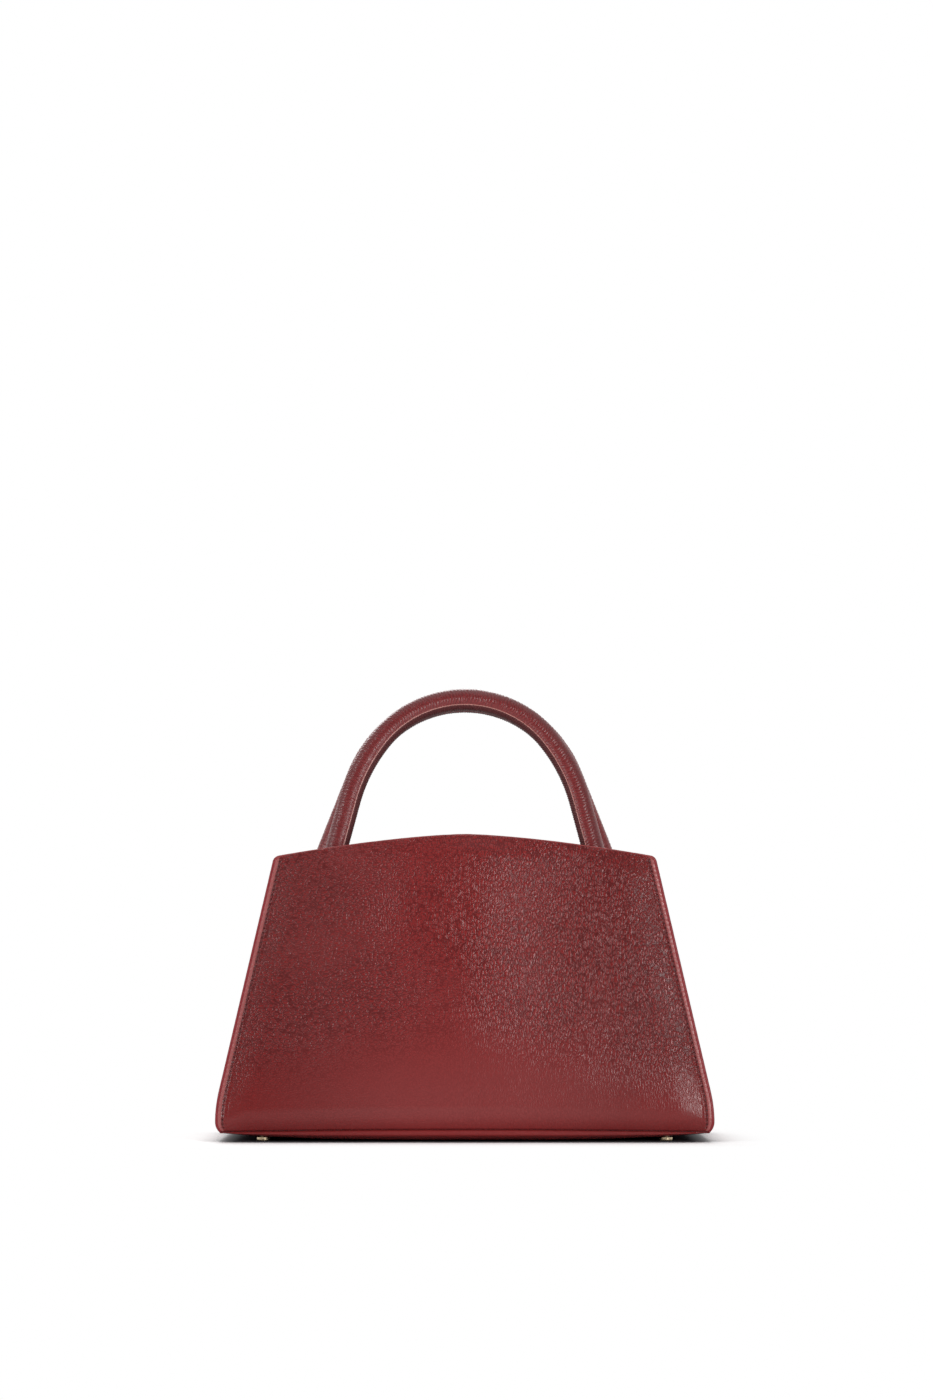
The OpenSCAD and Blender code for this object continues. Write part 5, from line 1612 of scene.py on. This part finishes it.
def seen_or_mirrored(recipe):
    """1 for what the camera sees, straight or mirrored, and 0 for the light that the room gives."""
    seen = recipe.make("ShaderNodeLightPath", output="Is Camera Ray")
    paths = seen.socket.node.outputs
    glossy, clear = Wire(recipe, paths["Is Glossy Ray"]), Wire(recipe, paths["Is Transmission Ray"])
    return seen.math("MAXIMUM", seen, seen.math("MAXIMUM", glossy, clear))


class BAG_OT_stage(Operator):
    """Makes the camera, the lamps, the floor and the plain room"""

    bl_idname = "bag.stage"
    bl_label = "Stage"

    def execute(self, context):
        stage = settings()[2]
        self.camera(stage)
        for name, (place, width, height) in LAMPS.items():
            self.lamp(name, place, width, height, getattr(stage, name))
        self.floor()
        self.room(stage)
        context.scene.view_settings.view_transform = "Standard"
        return {"FINISHED"}

    def camera(self, stage):
        """Level, straight in front, and shifted so that the bag stands where the photograph has it."""
        data = bpy.data.cameras.new("camera")
        data.lens = LENS
        data.sensor_fit = "VERTICAL"
        data.sensor_height = SENSOR
        data.sensor_width = SENSOR
        data.shift_x = (IMAGE_W / 2 - AXIS_PX) / IMAGE_H
        data.shift_y = (HORIZON_PX - IMAGE_H / 2) / IMAGE_H
        camera = placed("camera", data)
        camera.location = (0, -stage.camera_far, stage.camera_up)
        camera.rotation_euler = (math.pi / 2, 0, 0)
        bpy.context.scene.camera = camera

    def lamp(self, name, place, width, height, power):
        """A soft lamp that shines at the middle of the bag."""
        data = bpy.data.lights.new(name, "AREA")
        data.shape = "RECTANGLE"
        data.size, data.size_y = width, height
        data.energy = power
        lamp = placed(name, data)
        lamp.location = place
        lamp.rotation_euler = (Vector(LAMPS_AIM) - Vector(place)).to_track_quat("-Z", "Y").to_euler()

    def floor(self):
        """White, with the bag's shadow close round it, darkened under the bag by painted shade from ambient
        occlusion.
        """
        r = Recipe("white_floor")
        x, y, _ = r.parts(r.object_place())
        away_x = r.ranged(abs(x), 0.135, 0.19)
        far = away_x.math("MAXIMUM", away_x, r.ranged(abs(y), 0.055, 0.12))
        # The camera sees the floor white where it is open, and in painted shade from ambient occlusion right
        # under the bag
        open_sky = r.make("ShaderNodeAmbientOcclusion", {"samples": 8}, {"Distance": 30 * MM}, "AO")
        lit = r.mixed(r.ranged(open_sky, 0.35, 0.95), (0.1, 0.1, 0.11), (1.55, 1.55, 1.55))
        matt = r.make("ShaderNodeBsdfDiffuse", None, {
            "Color": r.mixed(seen_or_mirrored(r), (0.85, 0.85, 0.85), lit),
        })
        white = r.make("ShaderNodeEmission", None, {"Color": (1, 1, 1, 1), "Strength": 1.0})
        both = r.make("ShaderNodeMixShader", None, {0: seen_or_mirrored(r) * far, 1: matt, 2: white})
        r.make("ShaderNodeOutputMaterial", None, {"Surface": both})
        mesh = bpy.data.meshes.new("floor")
        corners = [(FLOOR_REACH * x, FLOOR_REACH * y, 0) for x, y in ((-1, -1), (1, -1), (1, 1), (-1, 1))]
        mesh.from_pydata(corners, [], [(0, 1, 2, 3)])
        mesh.materials.append(r.owner)
        placed("floor", mesh)

    def room(self, stage):
        """The room behind the bag is white, also in its shine, and the room in front is dimmer."""
        r = Recipe("room", world=True)
        bpy.context.scene.world = r.owner
        _, y, _ = r.parts(r.make("ShaderNodeTexCoord", output="Generated"))
        mirrored = r.ranged(y, -0.7, 0.25, stage.front_room, 1.0)
        seen = r.make("ShaderNodeLightPath", output="Is Camera Ray")
        shown = seen + (1 - seen) * mirrored
        light = r.make("ShaderNodeBackground", None, {"Color": (1, 1, 1, 1), "Strength": stage.room})
        white = r.make("ShaderNodeBackground", None, {"Color": (1, 1, 1, 1), "Strength": shown})
        both = r.make("ShaderNodeMixShader", None, {0: seen_or_mirrored(r), 1: light, 2: white})
        r.make("ShaderNodeOutputWorld", None, {"Surface": both})


OPERATORS = (
    BAG_OT_stage, BAG_OT_panels, BAG_OT_walls_inside, BAG_OT_base, BAG_OT_gussets, BAG_OT_handles,
    BAG_OT_ring_tabs, BAG_OT_pockets, BAG_OT_fittings,
)


class BAG_PT_pieces(Panel):
    """The pieces of the bag"""

    bl_idname = "BAG_PT_pieces"
    bl_label = "Leather bag"
    bl_space_type = "VIEW_3D"
    bl_region_type = "UI"
    bl_category = "Bag"

    def draw(self, context):
        for operator in OPERATORS:
            self.layout.operator(operator.bl_idname)
        for group in settings():
            for key in group.__annotations__:
                self.layout.prop(group, key)


GROUPS = {"bag_leather": BagLeather, "bag_shape": BagShape, "bag_stage": BagStage}


def register():
    for made in (*GROUPS.values(), *OPERATORS, BAG_PT_pieces):
        bpy.utils.register_class(made)
    for name, group in GROUPS.items():
        setattr(bpy.types.Scene, name, PointerProperty(type=group))


def unregister():
    for name in GROUPS:
        delattr(bpy.types.Scene, name)
    for made in reversed((*GROUPS.values(), *OPERATORS, BAG_PT_pieces)):
        bpy.utils.unregister_class(made)


def main():
    register()
    for operator in OPERATORS:
        group, name = operator.bl_idname.split(".")
        getattr(getattr(bpy.ops, group), name)()


if __name__ == "__main__":
    main()
